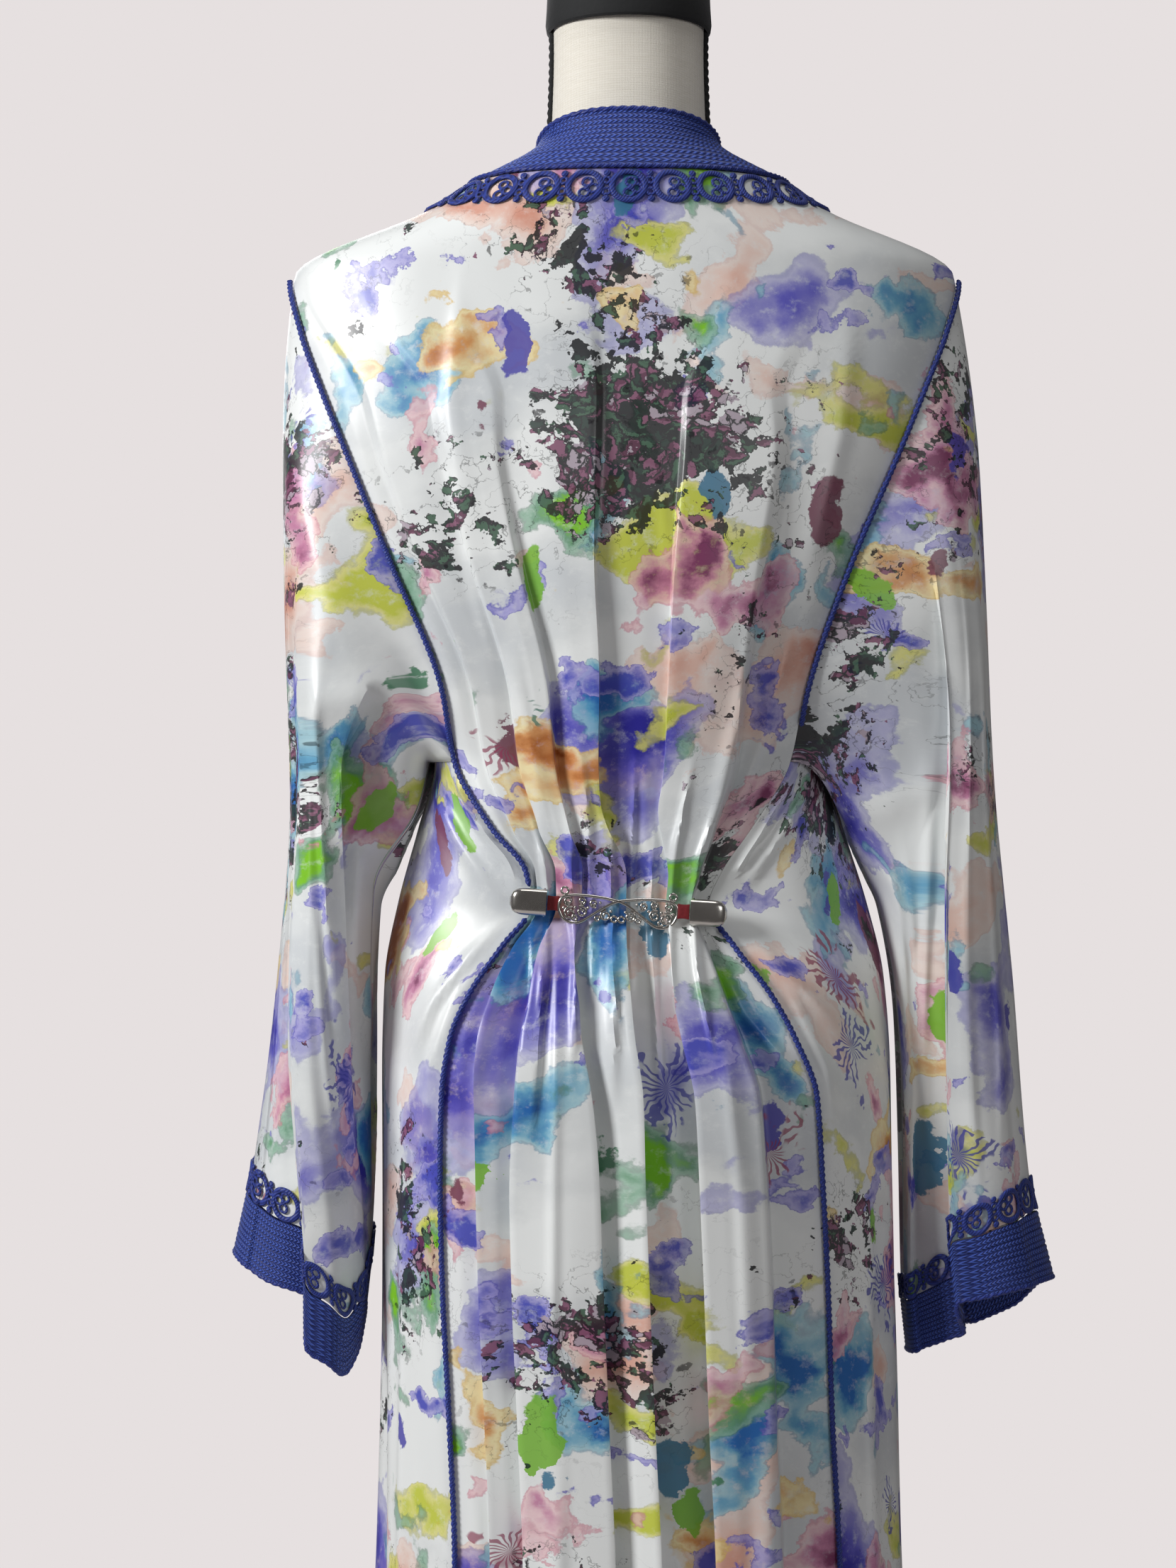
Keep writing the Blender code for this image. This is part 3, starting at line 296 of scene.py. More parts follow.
class Finish:
    # a material and the ways its nodes are made
    def __init__(self, name, **constants):
        self.material = bpy.data.materials.new(name)
        self.material.use_nodes = True
        self.tree = self.material.node_tree
        self.shader = self.tree.nodes["Principled BSDF"]
        for socket, value in constants.items():
            self.shader.inputs[socket.replace("_", " ")].default_value = value

    def node(self, kind, settings=None, output=0, **values):
        made = self.tree.nodes.new("ShaderNode" + kind)
        for key, value in (settings or {}).items():
            if key == "stops":
                self.setStops(made.color_ramp, value)
            else:
                setattr(made, key, value)
        for socket, value in values.items():
            place = socket.replace("_", " ") if not socket.startswith("at") else int(socket[2:])
            if isinstance(value, Wire):
                self.tree.links.new(value.socket, made.inputs[place])
            else:
                made.inputs[place].default_value = value
        return Wire(self.tree, made.outputs[output])

    def setStops(self, ramp, stops):
        while len(ramp.elements) > 1:
            ramp.elements.remove(ramp.elements[-1])
        for place, (at, paint, *cover) in enumerate(stops):
            stop = ramp.elements[0] if place == 0 else ramp.elements.new(at)
            stop.position = at
            stop.color = (*paint, cover[0] if cover else 1.0)

    def also(self, wire, output):
        return Wire(self.tree, wire.socket.node.outputs[output])

    def step(self, value, low, high):
        return self.node("MapRange", {"interpolation_type": "SMOOTHSTEP"}, Value=value,
                         From_Min=low, From_Max=high)

    def mix(self, share, first, second, blend="MIX"):
        return self.node("Mix", {"data_type": "RGBA", "blend_type": blend}, 2,
                         at0=share, at6=first, at7=second)

    def vector(self, operation, first, second=None, scale=None):
        values = {"at0": first}
        if second is not None:
            values["at1"] = second
        if scale is not None:
            values["Scale"] = scale
        output = 1 if operation in ("LENGTH", "DOT_PRODUCT", "DISTANCE") else 0
        return self.node("VectorMath", {"operation": operation}, output, **values)

    def place(self, output="UV"):
        made = self.tree.nodes.new("ShaderNodeTexCoord")
        return Wire(self.tree, made.outputs[output])

    def moved(self, place, scale=(1, 1, 1), shift=(0, 0, 0), turn=0.0):
        return self.node("Mapping", Vector=place, Scale=scale, Location=shift,
                         Rotation=(0, 0, turn))

    def cloudy(self, place, scale, detail=3.0, roughness=0.55, output=0):
        return self.node("TexNoise", None, output, Vector=place, Scale=scale, Detail=detail,
                         Roughness=roughness)

    def feed(self, **links):
        for socket, wire in links.items():
            self.tree.links.new(wire.socket, self.shader.inputs[socket.replace("_", " ")])
        return self.material

    def bump(self, height, strength, distance):
        raised = self.node("Bump", None, 0, Height=height, Strength=strength, Distance=distance)
        self.tree.links.new(raised.socket, self.shader.inputs["Normal"])


def colour(red, green, blue):
    # a colour as it looks, 0 to 255
    def straight(value):
        value /= 255.0
        return value / 12.92 if value <= 0.04045 else ((value + 0.055) / 1.055) ** 2.4
    return (straight(red), straight(green), straight(blue))


printed = {
    "ground": colour(233, 236, 235), "ink": colour(24, 22, 28),
    # washes of paint: seed, marks per metre, stretch, turn, and what the noise paints
    "washes": [
        ((0.3, 1.7, 0), 4.6, (1.0, 1.3, 1), 0.3, [
            (0.470, colour(214, 217, 218), 0.0), (0.530, colour(206, 210, 211), 0.50),
            (0.600, colour(184, 190, 196), 0.60)]),
        ((4.1, 0.9, 0), 7.0, (1.0, 1.2, 1), 0.9, [
            (0.582, colour(222, 170, 152), 0.0), (0.590, colour(218, 164, 144), 0.45),
            (0.604, colour(236, 210, 196), 0.60), (0.658, colour(226, 178, 158), 0.80),
            (0.712, colour(206, 124, 92), 0.85)]),
        ((9.6, 4.4, 0), 6.2, (1.0, 1.0, 1), 0.2, [
            (0.562, colour(112, 108, 188), 0.0), (0.568, colour(112, 108, 188), 0.55),
            (0.582, colour(174, 172, 216), 0.70), (0.614, colour(124, 120, 198), 0.85),
            (0.644, colour(84, 80, 188), 0.95), (0.682, colour(46, 42, 158), 1.0)]),
        ((2.7, 5.3, 0), 7.6, (1.0, 1.5, 1), 0.0, [
            (0.624, colour(172, 170, 60), 0.0), (0.632, colour(176, 176, 64), 0.60),
            (0.644, colour(222, 218, 120), 0.85), (0.680, colour(196, 204, 60), 0.95)]),
        ((6.2, 8.8, 0), 8.6, (1.2, 1.0, 1), 0.6, [
            (0.600, colour(62, 128, 160), 0.0), (0.607, colour(62, 128, 160), 0.60),
            (0.616, colour(146, 196, 208), 0.75), (0.649, colour(76, 156, 192), 0.90),
            (0.684, colour(40, 104, 176), 1.0)]),
        ((1.4, 7.7, 0), 8.2, (1.0, 1.0, 1), 1.2, [
            (0.612, colour(70, 124, 96), 0.0), (0.620, colour(70, 124, 96), 0.60),
            (0.630, colour(140, 184, 158), 0.80), (0.650, colour(92, 150, 112), 0.90),
            (0.674, colour(126, 194, 40), 1.0)]),
        ((3.9, 2.2, 0), 9.0, (1.3, 1.0, 1), 0.0, [
            (0.614, colour(204, 128, 148), 0.0), (0.619, colour(204, 128, 148), 0.75),
            (0.630, colour(236, 192, 196), 0.70), (0.670, colour(196, 120, 158), 0.90),
            (0.700, colour(126, 56, 96), 1.0)]),
        ((8.3, 6.1, 0), 6.8, (1.0, 1.4, 1), 0.4, [
            (0.646, colour(220, 186, 104), 0.0), (0.652, colour(220, 186, 104), 0.80),
            (0.665, colour(240, 222, 160), 0.80), (0.700, colour(214, 146, 66), 0.90),
            (0.730, colour(160, 84, 30), 1.0)]),
        ((5.5, 3.6, 0), 13.0, (1.0, 1.3, 1), 0.7, [
            (0.620, colour(96, 92, 186), 0.0), (0.625, colour(96, 92, 186), 0.85),
            (0.636, colour(168, 162, 220), 0.80), (0.680, colour(70, 76, 184), 0.95)])],
    # small leaves and petals: seed, marks per metre, how many show, size, softness and paints
    "leaves": {"seed": (7.9, 3.1, 0), "scale": 30.0, "shown": 0.13, "low": 0.16, "high": 0.50,
               "soft": 0.04, "strength": 0.92,
               "paints": [(0.00, colour(122, 184, 40)), (0.26, colour(54, 118, 150)),
                          (0.48, colour(70, 130, 96)), (0.68, colour(76, 72, 170)),
                          (0.86, colour(120, 60, 84))]},
    "petals": [(0.00, colour(16, 20, 24)), (0.41, colour(30, 54, 46)), (0.455, colour(64, 98, 76)),
               (0.50, colour(22, 26, 30)), (0.525, colour(136, 84, 112)), (0.575, colour(96, 44, 74)),
               (0.615, colour(176, 162, 174))],
    "blooms": [(0.0, colour(58, 60, 164)), (0.35, colour(58, 120, 104)),
               (0.6, colour(96, 92, 40)), (0.8, colour(150, 60, 92))],
}


def brushMarks(look, place, under, marks):
    # marks of paint, each a distorted cell with its own size and paint
    moved = look.vector("ADD", place, marks["seed"])
    distance = look.node("TexVoronoi", {"feature": "F1"}, 0, Vector=moved, Scale=marks["scale"],
                         Randomness=1.0)
    parts = look.node("SeparateColor", None, 0, Color=look.also(distance, 1))
    chosen, sized, paintAt = parts, look.also(parts, 1), look.also(parts, 2)
    size = sized * (marks["high"] - marks["low"]) + marks["low"]
    inside = 1.0 - look.step((distance - size) / marks["soft"], -1.0, 0.0)
    shown = inside * (chosen < marks["shown"])
    paint = look.node("ValToRGB", {"stops": marks["paints"]}, 0, Fac=paintAt)
    paint.socket.node.color_ramp.interpolation = "CONSTANT"
    return look.mix(shown * marks["strength"], under, paint)


def makeSatin():
    look = Finish("printedSatin", Anisotropic=0.45, Sheen_Weight=0.10, Sheen_Roughness=0.35,
                  Specular_IOR_Level=0.62)
    place = look.place("UV")
    wander = look.vector("SUBTRACT", look.cloudy(place, 10.0, 3.0, 0.6, 1), (0.5, 0.5, 0.5))
    ragged = look.vector("SUBTRACT", look.cloudy(place, 62.0, 4.0, 0.65, 1), (0.5, 0.5, 0.5))
    warped = look.vector("ADD", place, look.vector("SCALE", wander, scale=0.055))
    warped = look.vector("ADD", warped, look.vector("SCALE", ragged, scale=0.020))
    grain = look.cloudy(place, 85.0, 4.0, 0.7)
    dry = look.step(grain, 0.28, 0.50) * 0.42 + 0.58
    paper = (*printed["ground"], 1.0)
    for seed, scale, stretch, turn, stops in printed["washes"]:
        turned = look.moved(warped, stretch, seed, turn)
        wash = look.node("ValToRGB", {"stops": stops}, 0, Fac=look.cloudy(turned, scale, 3.0, 0.5))
        paper = look.mix(look.also(wash, 1) * dry, paper, wash)
    slim = look.moved(warped, (1.0, 0.55, 1.0), (0, 0, 0), 0.5)
    paper = brushMarks(look, slim, paper, printed["leaves"])

    # fringed blooms: uneven rays round the middles of scattered cells
    bloomPlace = look.vector("ADD", place, look.vector("SCALE", wander, scale=0.03))
    cell = look.node("TexVoronoi", {"feature": "F1"}, 0, Vector=bloomPlace, Scale=8.0,
                     Randomness=0.9)
    away = look.vector("SUBTRACT", bloomPlace, look.also(cell, 2))
    apart = look.node("SeparateXYZ", None, 0, Vector=away)
    angle = look.node("Math", {"operation": "ARCTAN2"}, 0, at0=look.also(apart, 1), at1=apart)
    radius = look.vector("LENGTH", away)
    rays = look.node("Math", {"operation": "SINE"}, 0,
                     at0=angle * 17.0 + look.cloudy(place, 60.0, 2.0) * 26.0)
    lot = look.node("SeparateColor", None, 0, Color=look.also(cell, 1))
    reach = look.cloudy(place, 34.0, 2.0) * 0.085 - 0.010
    ring = look.step(radius, 0.004, 0.012) * (1.0 - look.step(radius - reach, -0.003, 0.001))
    bloomPaint = look.node("ValToRGB", {"stops": printed["blooms"]}, 0, Fac=look.also(lot, 2))
    bloomPaint.socket.node.color_ramp.interpolation = "CONSTANT"
    chosen = lot < 0.34
    fringe = look.step(rays, 0.10, 0.50) * ring * chosen
    heart = (1.0 - look.step(radius - reach * 0.55, -0.006, 0.002)) * chosen
    paper = look.mix(heart * 0.62, paper, bloomPaint)
    paper = look.mix(fringe * 0.80, paper, bloomPaint)

    # petal clusters with inked outlines, which break up towards their edges
    region = look.cloudy(look.vector("ADD", place, (3.3, 8.1, 0)), 4.4, 1.5, 0.45)
    petals = look.node("TexVoronoi", {"feature": "F1"}, 0, Vector=warped, Scale=105.0)
    edges = look.node("TexVoronoi", {"feature": "DISTANCE_TO_EDGE"}, 0, Vector=warped, Scale=105.0)
    pick = look.node("SeparateColor", None, 0, Color=look.also(petals, 1))
    holes = look.cloudy(place, 38.0, 4.0, 0.65)
    present = look.step(region + (holes - 0.5) * 0.42 + (pick - 0.5) * 0.10, 0.600, 0.606)
    tone = look.cloudy(look.vector("ADD", warped, (2.0, 6.0, 0)), 20.0, 2.0)
    petalPaint = look.node("ValToRGB", {"stops": printed["petals"]}, 0,
                           Fac=tone + (look.also(pick, 1) - 0.5) * 0.16)
    petalPaint.socket.node.color_ramp.interpolation = "CONSTANT"
    inked = look.mix(look.step(edges, 0.04, 0.13), (*printed["ink"], 1.0), petalPaint)
    paper = look.mix(present * 0.94, paper, inked)

    # fine pen lines and drops round the clusters
    near = look.step(region, 0.47, 0.56)
    lines = look.cloudy(look.vector("ADD", warped, (9.0, 2.0, 0)), 38.0, 2.0)
    pen = (1.0 - look.step(absolute(look, lines - 0.5), 0.003, 0.008)) * near
    drops = look.node("TexVoronoi", {"feature": "F1"}, 0, Vector=warped, Scale=110.0)
    dropLot = look.node("SeparateColor", None, 0, Color=look.also(drops, 1))
    spots = (1.0 - look.step(drops, 0.20, 0.30)) * (dropLot < 0.10) * near
    paper = look.mix(pen * 0.5 + spots * 0.8, paper, (*printed["ink"], 1.0))

    weave = look.node("TexWave", {"bands_direction": "Y"}, 0, Vector=place, Scale=900.0,
                      Distortion=0.4)
    look.bump(weave, 0.05, 0.0003)
    return look.feed(Base_Color=paper, Roughness=look.cloudy(place, 25.0, 2.0) * 0.10 + 0.28)


def absolute(look, value):
    return look.node("Math", {"operation": "ABSOLUTE"}, 0, at0=value)


# lit and deep are lit and shaded copies of the braid's blue: painted highlight and painted shade
braid = {"lit": colour(72, 100, 196), "deep": colour(8, 20, 84), "pitch": 0.0040, "row": 0.0036}


def makeBraid():
    # plaited rows: slanted stitches that change their slant from one row to the next, painted lighter on their raised
    # parts and darker in the gaps and at the row edges
    look = Finish("blueBraid", Roughness=0.55, Sheen_Weight=0.12, Sheen_Roughness=0.4,
                  Specular_IOR_Level=0.35)
    place = look.place("UV")
    apart = look.node("SeparateXYZ", None, 0, Vector=place)
    along, across = apart, look.also(apart, 1)
    row = across / braid["row"]
    within = look.node("Math", {"operation": "FRACT"}, 0, at0=row)
    zigzag = absolute(look, within - 0.5) * 2.0
    stitch = look.node("Math", {"operation": "FRACT"}, 0, at0=along / braid["pitch"] + zigzag * 0.9)
    hump = 1.0 - absolute(look, stitch - 0.5) * 2.0
    crown = look.step(1.0 - absolute(look, within - 0.5) * 2.0, 0.0, 0.55)
    uneven = look.cloudy(place, 160.0, 3.0)
    height = look.step(hump, 0.10, 0.90) * crown * 0.85 + uneven * 0.2
    # painted shade in the gaps between stitches and at the row edges, painted highlight on the raised stitches, with
    # some random tone from the noise
    shade = look.step(height, 0.10, 0.85) * 0.85 + uneven * 0.2
    look.bump(height, 0.9, 0.0008)
    paint = look.mix(shade, (*braid["deep"], 1.0), (*braid["lit"], 1.0))
    return look.feed(Base_Color=paint, Roughness=uneven * 0.2 + 0.42)


def makeCord():
    look = Finish("blueCord", Roughness=0.5, Sheen_Weight=0.12, Specular_IOR_Level=0.35)
    place = look.place("Object")
    threads = look.node("TexWave", {"bands_direction": "DIAGONAL"}, 0, Vector=place, Scale=260.0,
                        Distortion=1.2, Detail=2.0)
    uneven = look.cloudy(place, 120.0, 3.0)
    look.bump(threads, 0.5, 0.0004)
    # painted shade: the grooves of the thread waves, which also make the bump, are painted dark blue and their tops a
    # lighter blue, mixed with random tone from the noise
    paint = look.mix(threads * 0.6 + uneven * 0.4, (*colour(10, 20, 84), 1.0),
                     (*colour(44, 66, 158), 1.0))
    return look.feed(Base_Color=paint, Roughness=uneven * 0.2 + 0.4)


def makeLinen():
    look = Finish("formLinen", Roughness=0.85, Sheen_Weight=0.2)
    place = look.place("Object")
    over = look.node("TexWave", {"bands_direction": "X"}, 0, Vector=place, Scale=330.0,
                     Distortion=1.5, Detail=2.0)
    under = look.node("TexWave", {"bands_direction": "Z"}, 0, Vector=place, Scale=360.0,
                      Distortion=1.5, Detail=2.0)
    slubs = look.cloudy(look.moved(place, (1, 1, 9)), 60.0, 3.0)
    height = over * 0.5 + under * 0.5 + slubs * 0.4
    look.bump(height, 0.4, 0.0004)
    paint = look.mix(look.step(height, 0.3, 1.1), (*colour(214, 207, 192), 1.0),
                     (*colour(242, 238, 228), 1.0))
    return look.feed(Base_Color=paint)


def makePlain(name, deep, light, scale, roughness, metallic=0.0, strength=0.15, **constants):
    look = Finish(name, Metallic=metallic, **constants)
    place = look.place("Object")
    uneven = look.cloudy(place, scale, 4.0)
    look.bump(uneven, strength, 0.0004)
    paint = look.mix(uneven, (*deep, 1.0), (*light, 1.0))
    return look.feed(Base_Color=paint, Roughness=uneven * 0.12 + roughness)


satin = makeSatin()
plait = makeBraid()
cordBlue = makeCord()
linen = makeLinen()
capBlack = makePlain("capBlack", colour(5, 6, 8), colour(18, 20, 22), 300.0, 0.75,
                     strength=0.6, Sheen_Weight=0.1)
standSteel = makePlain("standSteel", colour(48, 48, 52), colour(66, 66, 70), 90.0, 0.32, 0.9)
nickel = makePlain("claspNickel", colour(168, 164, 158), colour(214, 211, 205), 60.0, 0.15, 0.95,
                   0.04)
redLeather = makePlain("redLeather", colour(92, 14, 20), colour(134, 30, 38), 420.0, 0.45,
                       strength=0.5)
print("finishes made")


# centre back

backFolds = {
    # side it falls to, width, its place at shoulder, blade, waist, clip, hip, skirt and hem,
    # and the height of crest and foot above the clip and below it, in millimetres
    "folds": [(1, 0.035, 0.80, 0.89, 0.82, 0.93, 0.84, 0.80, 0.82, 8, 0, 9, -2),
              (1, 0.035, 0.58, 0.66, 0.62, 0.72, 0.58, 0.62, 0.64, 6, 1, 19, -5),
              (-1, 0.045, 0.31, 0.45, 0.41, 0.44, 0.27, 0.18, 0.20, 12, 2, 21, 2),
              (-1, 0.030, 0.05, 0.10, 0.16, -0.06, -0.05, -0.05, -0.04, 13, 1, 22, -7),
              (1, 0.030, -0.18, -0.22, -0.25, -0.52, -0.36, -0.37, -0.36, 11, 2, 22, -6),
              (-1, 0.070, -0.33, -0.60, -0.68, -0.80, -0.68, -0.70, -0.66, 13, 1, 18, -4)],
    # soft ridges: points (height, x), rise in mm, width to the left and right
    "ridges": [
        {"path": [(1.44, 0.030), (1.30, 0.022), (1.16, 0.016)], "rise": 1.6, "left": 14, "right": 9},
        {"path": [(1.34, -0.020), (1.20, -0.031), (1.10, -0.030)], "rise": 2.0, "left": 8, "right": 14},
        {"path": [(1.48, 0.118), (1.36, 0.128), (1.24, 0.112), (1.13, 0.085)], "rise": 2.6, "left": 8, "right": 16},
        {"path": [(1.20, 0.088), (1.12, 0.071), (1.03, 0.056)], "rise": 3.0, "left": 5, "right": 9},
        {"path": [(1.13, 0.038), (1.07, 0.031), (1.02, 0.028)], "rise": 2.4, "left": 6, "right": 8},
        {"path": [(1.12, -0.010), (1.06, -0.012), (1.02, -0.013)], "rise": 2.0, "left": 7, "right": 7},
        {"path": [(1.24, -0.098), (1.14, -0.076), (1.03, -0.050)], "rise": 4.0, "left": 10, "right": 4},
        {"path": [(1.20, -0.116), (1.12, -0.094), (1.04, -0.062)], "rise": 4.5, "left": 9, "right": 5},
        {"path": [(1.46, -0.160), (1.34, -0.150), (1.22, -0.122)], "rise": 2.2, "left": 14, "right": 10},
        {"path": [(1.012, 0.0640), (0.95, 0.0665), (0.90, 0.069), (0.83, 0.073)], "rise": 4.5, "left": 2.2, "right": 2.2, "flat": 4.6},
        {"path": [(1.01, 0.050), (0.93, 0.052), (0.82, 0.054), (0.60, 0.056)], "rise": 3.0, "left": 5, "right": 7},
        {"path": [(0.99, 0.020), (0.93, 0.018), (0.85, 0.014)], "rise": 2.0, "left": 7, "right": 7},
        {"path": [(0.99, -0.020), (0.93, -0.023), (0.84, -0.027), (0.74, -0.030)], "rise": 2.4, "left": 7, "right": 9},
        {"path": [(0.975, -0.058), (0.93, -0.080), (0.885, -0.118)], "rise": 4.2, "left": 7, "right": 8},
        {"path": [(0.965, -0.050), (0.90, -0.066), (0.80, -0.078), (0.64, -0.084)], "rise": 3.0, "left": 9, "right": 9},
        {"path": [(0.97, 0.082), (0.93, 0.098), (0.88, 0.108), (0.78, 0.112)], "rise": 3.2, "left": 8, "right": 8},
        {"path": [(0.72, -0.092), (0.60, -0.093), (0.40, -0.098), (0.10, -0.104)], "rise": 4.0, "left": 10, "right": 7},
        {"path": [(0.70, 0.048), (0.50, 0.052), (0.30, 0.055), (0.06, 0.060)], "rise": 3.4, "left": 12, "right": 10},
        {"path": [(0.66, 0.108), (0.45, 0.104), (0.25, 0.103), (0.05, 0.108)], "rise": 3.0, "left": 9, "right": 12},
        {"path": [(0.60, -0.032), (0.40, -0.034), (0.20, -0.035), (0.05, -0.040)], "rise": 3.2, "left": 9, "right": 9},
        {"path": [(0.50, -0.128), (0.30, -0.130), (0.08, -0.138)], "rise": 3.0, "left": 9, "right": 9},
        {"path": [(1.09, 0.078), (1.04, 0.0615), (1.005, 0.0570), (0.96, 0.0590), (0.91, 0.0625)], "rise": 3.8, "left": 3.5, "right": 3},
        {"path": [(1.11, 0.053), (1.05, 0.0430), (1.005, 0.0405), (0.96, 0.0415), (0.87, 0.044)], "rise": 4.6, "left": 4, "right": 3},
        {"path": [(1.14, 0.040), (1.06, 0.0300), (1.005, 0.0275), (0.95, 0.0275), (0.90, 0.029)], "rise": 3.6, "left": 3, "right": 4},
        {"path": [(1.09, 0.018), (1.04, 0.0148), (1.005, 0.0135), (0.95, 0.0130), (0.86, 0.012)], "rise": 4.8, "left": 3.5, "right": 3},
        {"path": [(1.13, -0.004), (1.05, -0.001), (1.005, 0.0000), (0.96, -0.001), (0.92, -0.002)], "rise": 3.6, "left": 3, "right": 3.5},
        {"path": [(1.07, -0.018), (1.03, -0.0155), (1.005, -0.0150), (0.95, -0.0165), (0.85, -0.021)], "rise": 4.6, "left": 3.5, "right": 3},
        {"path": [(1.12, -0.046), (1.05, -0.033), (1.005, -0.0290), (0.96, -0.031), (0.91, -0.036)], "rise": 3.8, "left": 3, "right": 4},
        {"path": [(1.09, -0.063), (1.04, -0.0475), (1.005, -0.0425), (0.96, -0.047), (0.89, -0.060)], "rise": 4.6, "left": 3, "right": 3}],
    # width of the cut at a height, and how the folds share what is hidden in them
    "cutWide": [(0.035, 0.36), (0.80, 0.345), (0.95, 0.33), (1.10, 0.31), (1.16, 0.31),
                (1.30, 0.365), (1.42, 0.4645), (1.466, 0.4866), (1.530, 0.2374)],
    "hidden": [0.10, 0.20, 0.15, 0.20, 0.20, 0.15], "lean": (0.0026, 0.0052),
    "columns": 172, "rows": 262, "cut": (0.47, 1.50), "uneven": 0.0011,
}


def foldPlace(fold, z):
    key = ("fold", fold[2], fold[8], round(z, 6))
    if key not in readBefore:
        rows = [(0.035, fold[8]), (0.80, fold[7]), (0.93, fold[6]), (1.005, fold[5]),
                (1.08, fold[4]), (1.30, fold[3]), (1.466, fold[2])]
        readBefore[key] = readCurve(rows, 1, z)
        readBefore.pop((id(rows), 1, round(z, 6)), None)
    return readBefore[key]


def foldLines():
    # the lines that the columns follow, left to right: the folds they lie between and how far,
    # the heights above and below the clip, and the lean of a fold's edge over its foot
    folds = backFolds["folds"]
    marks = [(None, 1.0, 3.0, 3.0, 0.0)]
    for fold in folds:
        falls, half = fold[0], fold[1] / 2
        crest = (fold, -falls * half, fold[9], fold[11], falls)
        foot = (fold, falls * half, fold[10], fold[12], -0.35 * falls)
        marks += [foot, crest] if falls > 0 else [crest, foot]
    marks.append((None, -1.0, 3.0, 3.0, 0.0))

    def at(mark, z):
        return mark[1] + (foldPlace(mark[0], z) if mark[0] else 0.0)
    lines = [(marks[0], marks[0], 0.0, 3.0, 3.0, 0.0)]
    for first, second in zip(marks, marks[1:]):
        gap = abs(at(first, 0.8) - at(second, 0.8))
        between = 0 if gap < 0.09 else 1 if gap < 0.2 else 2
        for k in range(between):
            t = (k + 1) / (between + 1)
            swell = 1.5 * math.sin(math.pi * t)
            lines.append((first, second, t, first[2] * (1 - t) + second[2] * t + swell,
                          first[3] * (1 - t) + second[3] * t + swell, 0.0))
        lines.append((second, second, 0.0, *second[2:]))
    places = [at(line[0], 0.8) * (1 - line[2]) + at(line[1], 0.8) * line[2] for line in lines]
    spans = [max(7.0, (a - b) * 62.0) if abs(a - b) > 0.08 or min(abs(a), abs(b)) > 0.99
             else 7.0 for a, b in zip(places, places[1:])]
    total, passed = sum(spans), [0.0]
    for span in spans:
        passed.append(passed[-1] + span / total)
    return lines, passed, at


backLines, lineStops, linePlace = foldLines()


def backLevel(z):
    # the lines at a height: their shares of the half width, heights and leans
    key = ("lines", round(z, 6))
    if key not in readBefore:
        up = smoothStep((1.50 - z) / 0.36) * smoothStep((z - 0.990) / 0.06)
        down = smoothStep((1.03 - z) / 0.07) * (0.62 + 0.38 * smoothStep((0.98 - z) / 0.10))
        down *= 1.0 + 0.25 * smoothStep((0.6 - z) / 0.5)
        lean = backFolds["lean"][0] * up + backFolds["lean"][1] * down
        readBefore[key] = (
            [linePlace(line[0], z) * (1 - line[2]) + linePlace(line[1], z) * line[2]
             for line in backLines],
            [((line[3] - 3.0) * up + (line[4] - 3.0) * down) / 1000.0 for line in backLines],
            [line[5] * lean for line in backLines])
    return readBefore[key]


def backShare(u, z):
    return float(np.interp(u, lineStops, backLevel(z)[0]))


def ridgeHeight(ridges, x, z):
    total = 0.0
    for ridge in ridges:
        path = ridge["path"]
        if not path[-1][0] <= z <= path[0][0]:
            continue
        at = np.interp(z, [p[0] for p in reversed(path)], [p[1] for p in reversed(path)])
        offset = (x - at) * 1000.0
        width = ridge["left"] if offset > 0 else ridge["right"]
        aside = max(0.0, abs(offset) - ridge.get("flat", 0.0))
        if aside >= width * 1.6:
            continue
        ends = min(path[0][0] - z, z - path[-1][0]) / (0.3 * (path[0][0] - path[-1][0]))
        total += ridge["rise"] * math.exp(-2.2 * (aside / width) ** 2) * smoothStep(ends)
    return total / 1000.0


def levelAt(v):
    # rows lie closer together near the clasp
    return float(np.interp(v, [0.0, 0.33, 0.62, 1.0], [1.5300, 1.12, 0.90, body["hem"]]))


def backUnfold(u, v, point):
    # the cloth as cut: what a fold hides lies between the two sides of its edge
    z = levelAt(v)
    share = backShare(u, z)
    crowd = smoothStep((z - 1.36) / 0.09)
    turned = share * (1 - crowd) + math.sin(share * math.pi / 2) * crowd
    left, right = seamX(1, z), seamX(-1, z)
    x = (left + right) / 2 + (left - right) / 2 * turned
    hidden = max(0.0, readCurve(backFolds["cutWide"], 1, z) - (left - right))
    passed = sum(part * smoothStep((foldPlace(fold, z) - share) / fold[1] + 0.5)
                 for fold, part in zip(backFolds["folds"], backFolds["hidden"]))
    return (0.5 - x + hidden * (passed - 0.5), 1.53 - z)


def backPlace(u, v):
    z = levelAt(v)
    share = backShare(u, z)
    soft = [min(1.0, max(0.0, u + d)) for d in (-0.004, 0.0, 0.004)]
    places, heights, leans = backLevel(z)
    height = sum(np.interp(s, lineStops, heights) for s in soft) / 3
    lean = sum(np.interp(s, lineStops, leans) for s in soft) / 3
    crowd = smoothStep((z - 1.36) / 0.09)
    turned = share * (1 - crowd) + math.sin(share * math.pi / 2) * crowd
    left, right = seamX(1, z), seamX(-1, z)
    x = (left + right) / 2 + (left - right) / 2 * turned
    calm = smoothStep((1.0 - abs(share)) / 0.06) * smoothStep((1.51 - z) / 0.05)
    height += ridgeHeight(backFolds["ridges"], x, z) * calm
    point = Vector((x + lean, backY(x, z), z))
    height += unevenness(point, 26.0, 3.0) * backFolds["uneven"] * calm
    point.y += height
    if v > 0 and u in (0.0, 1.0):
        point.x -= math.copysign(0.0002, share)
    return point


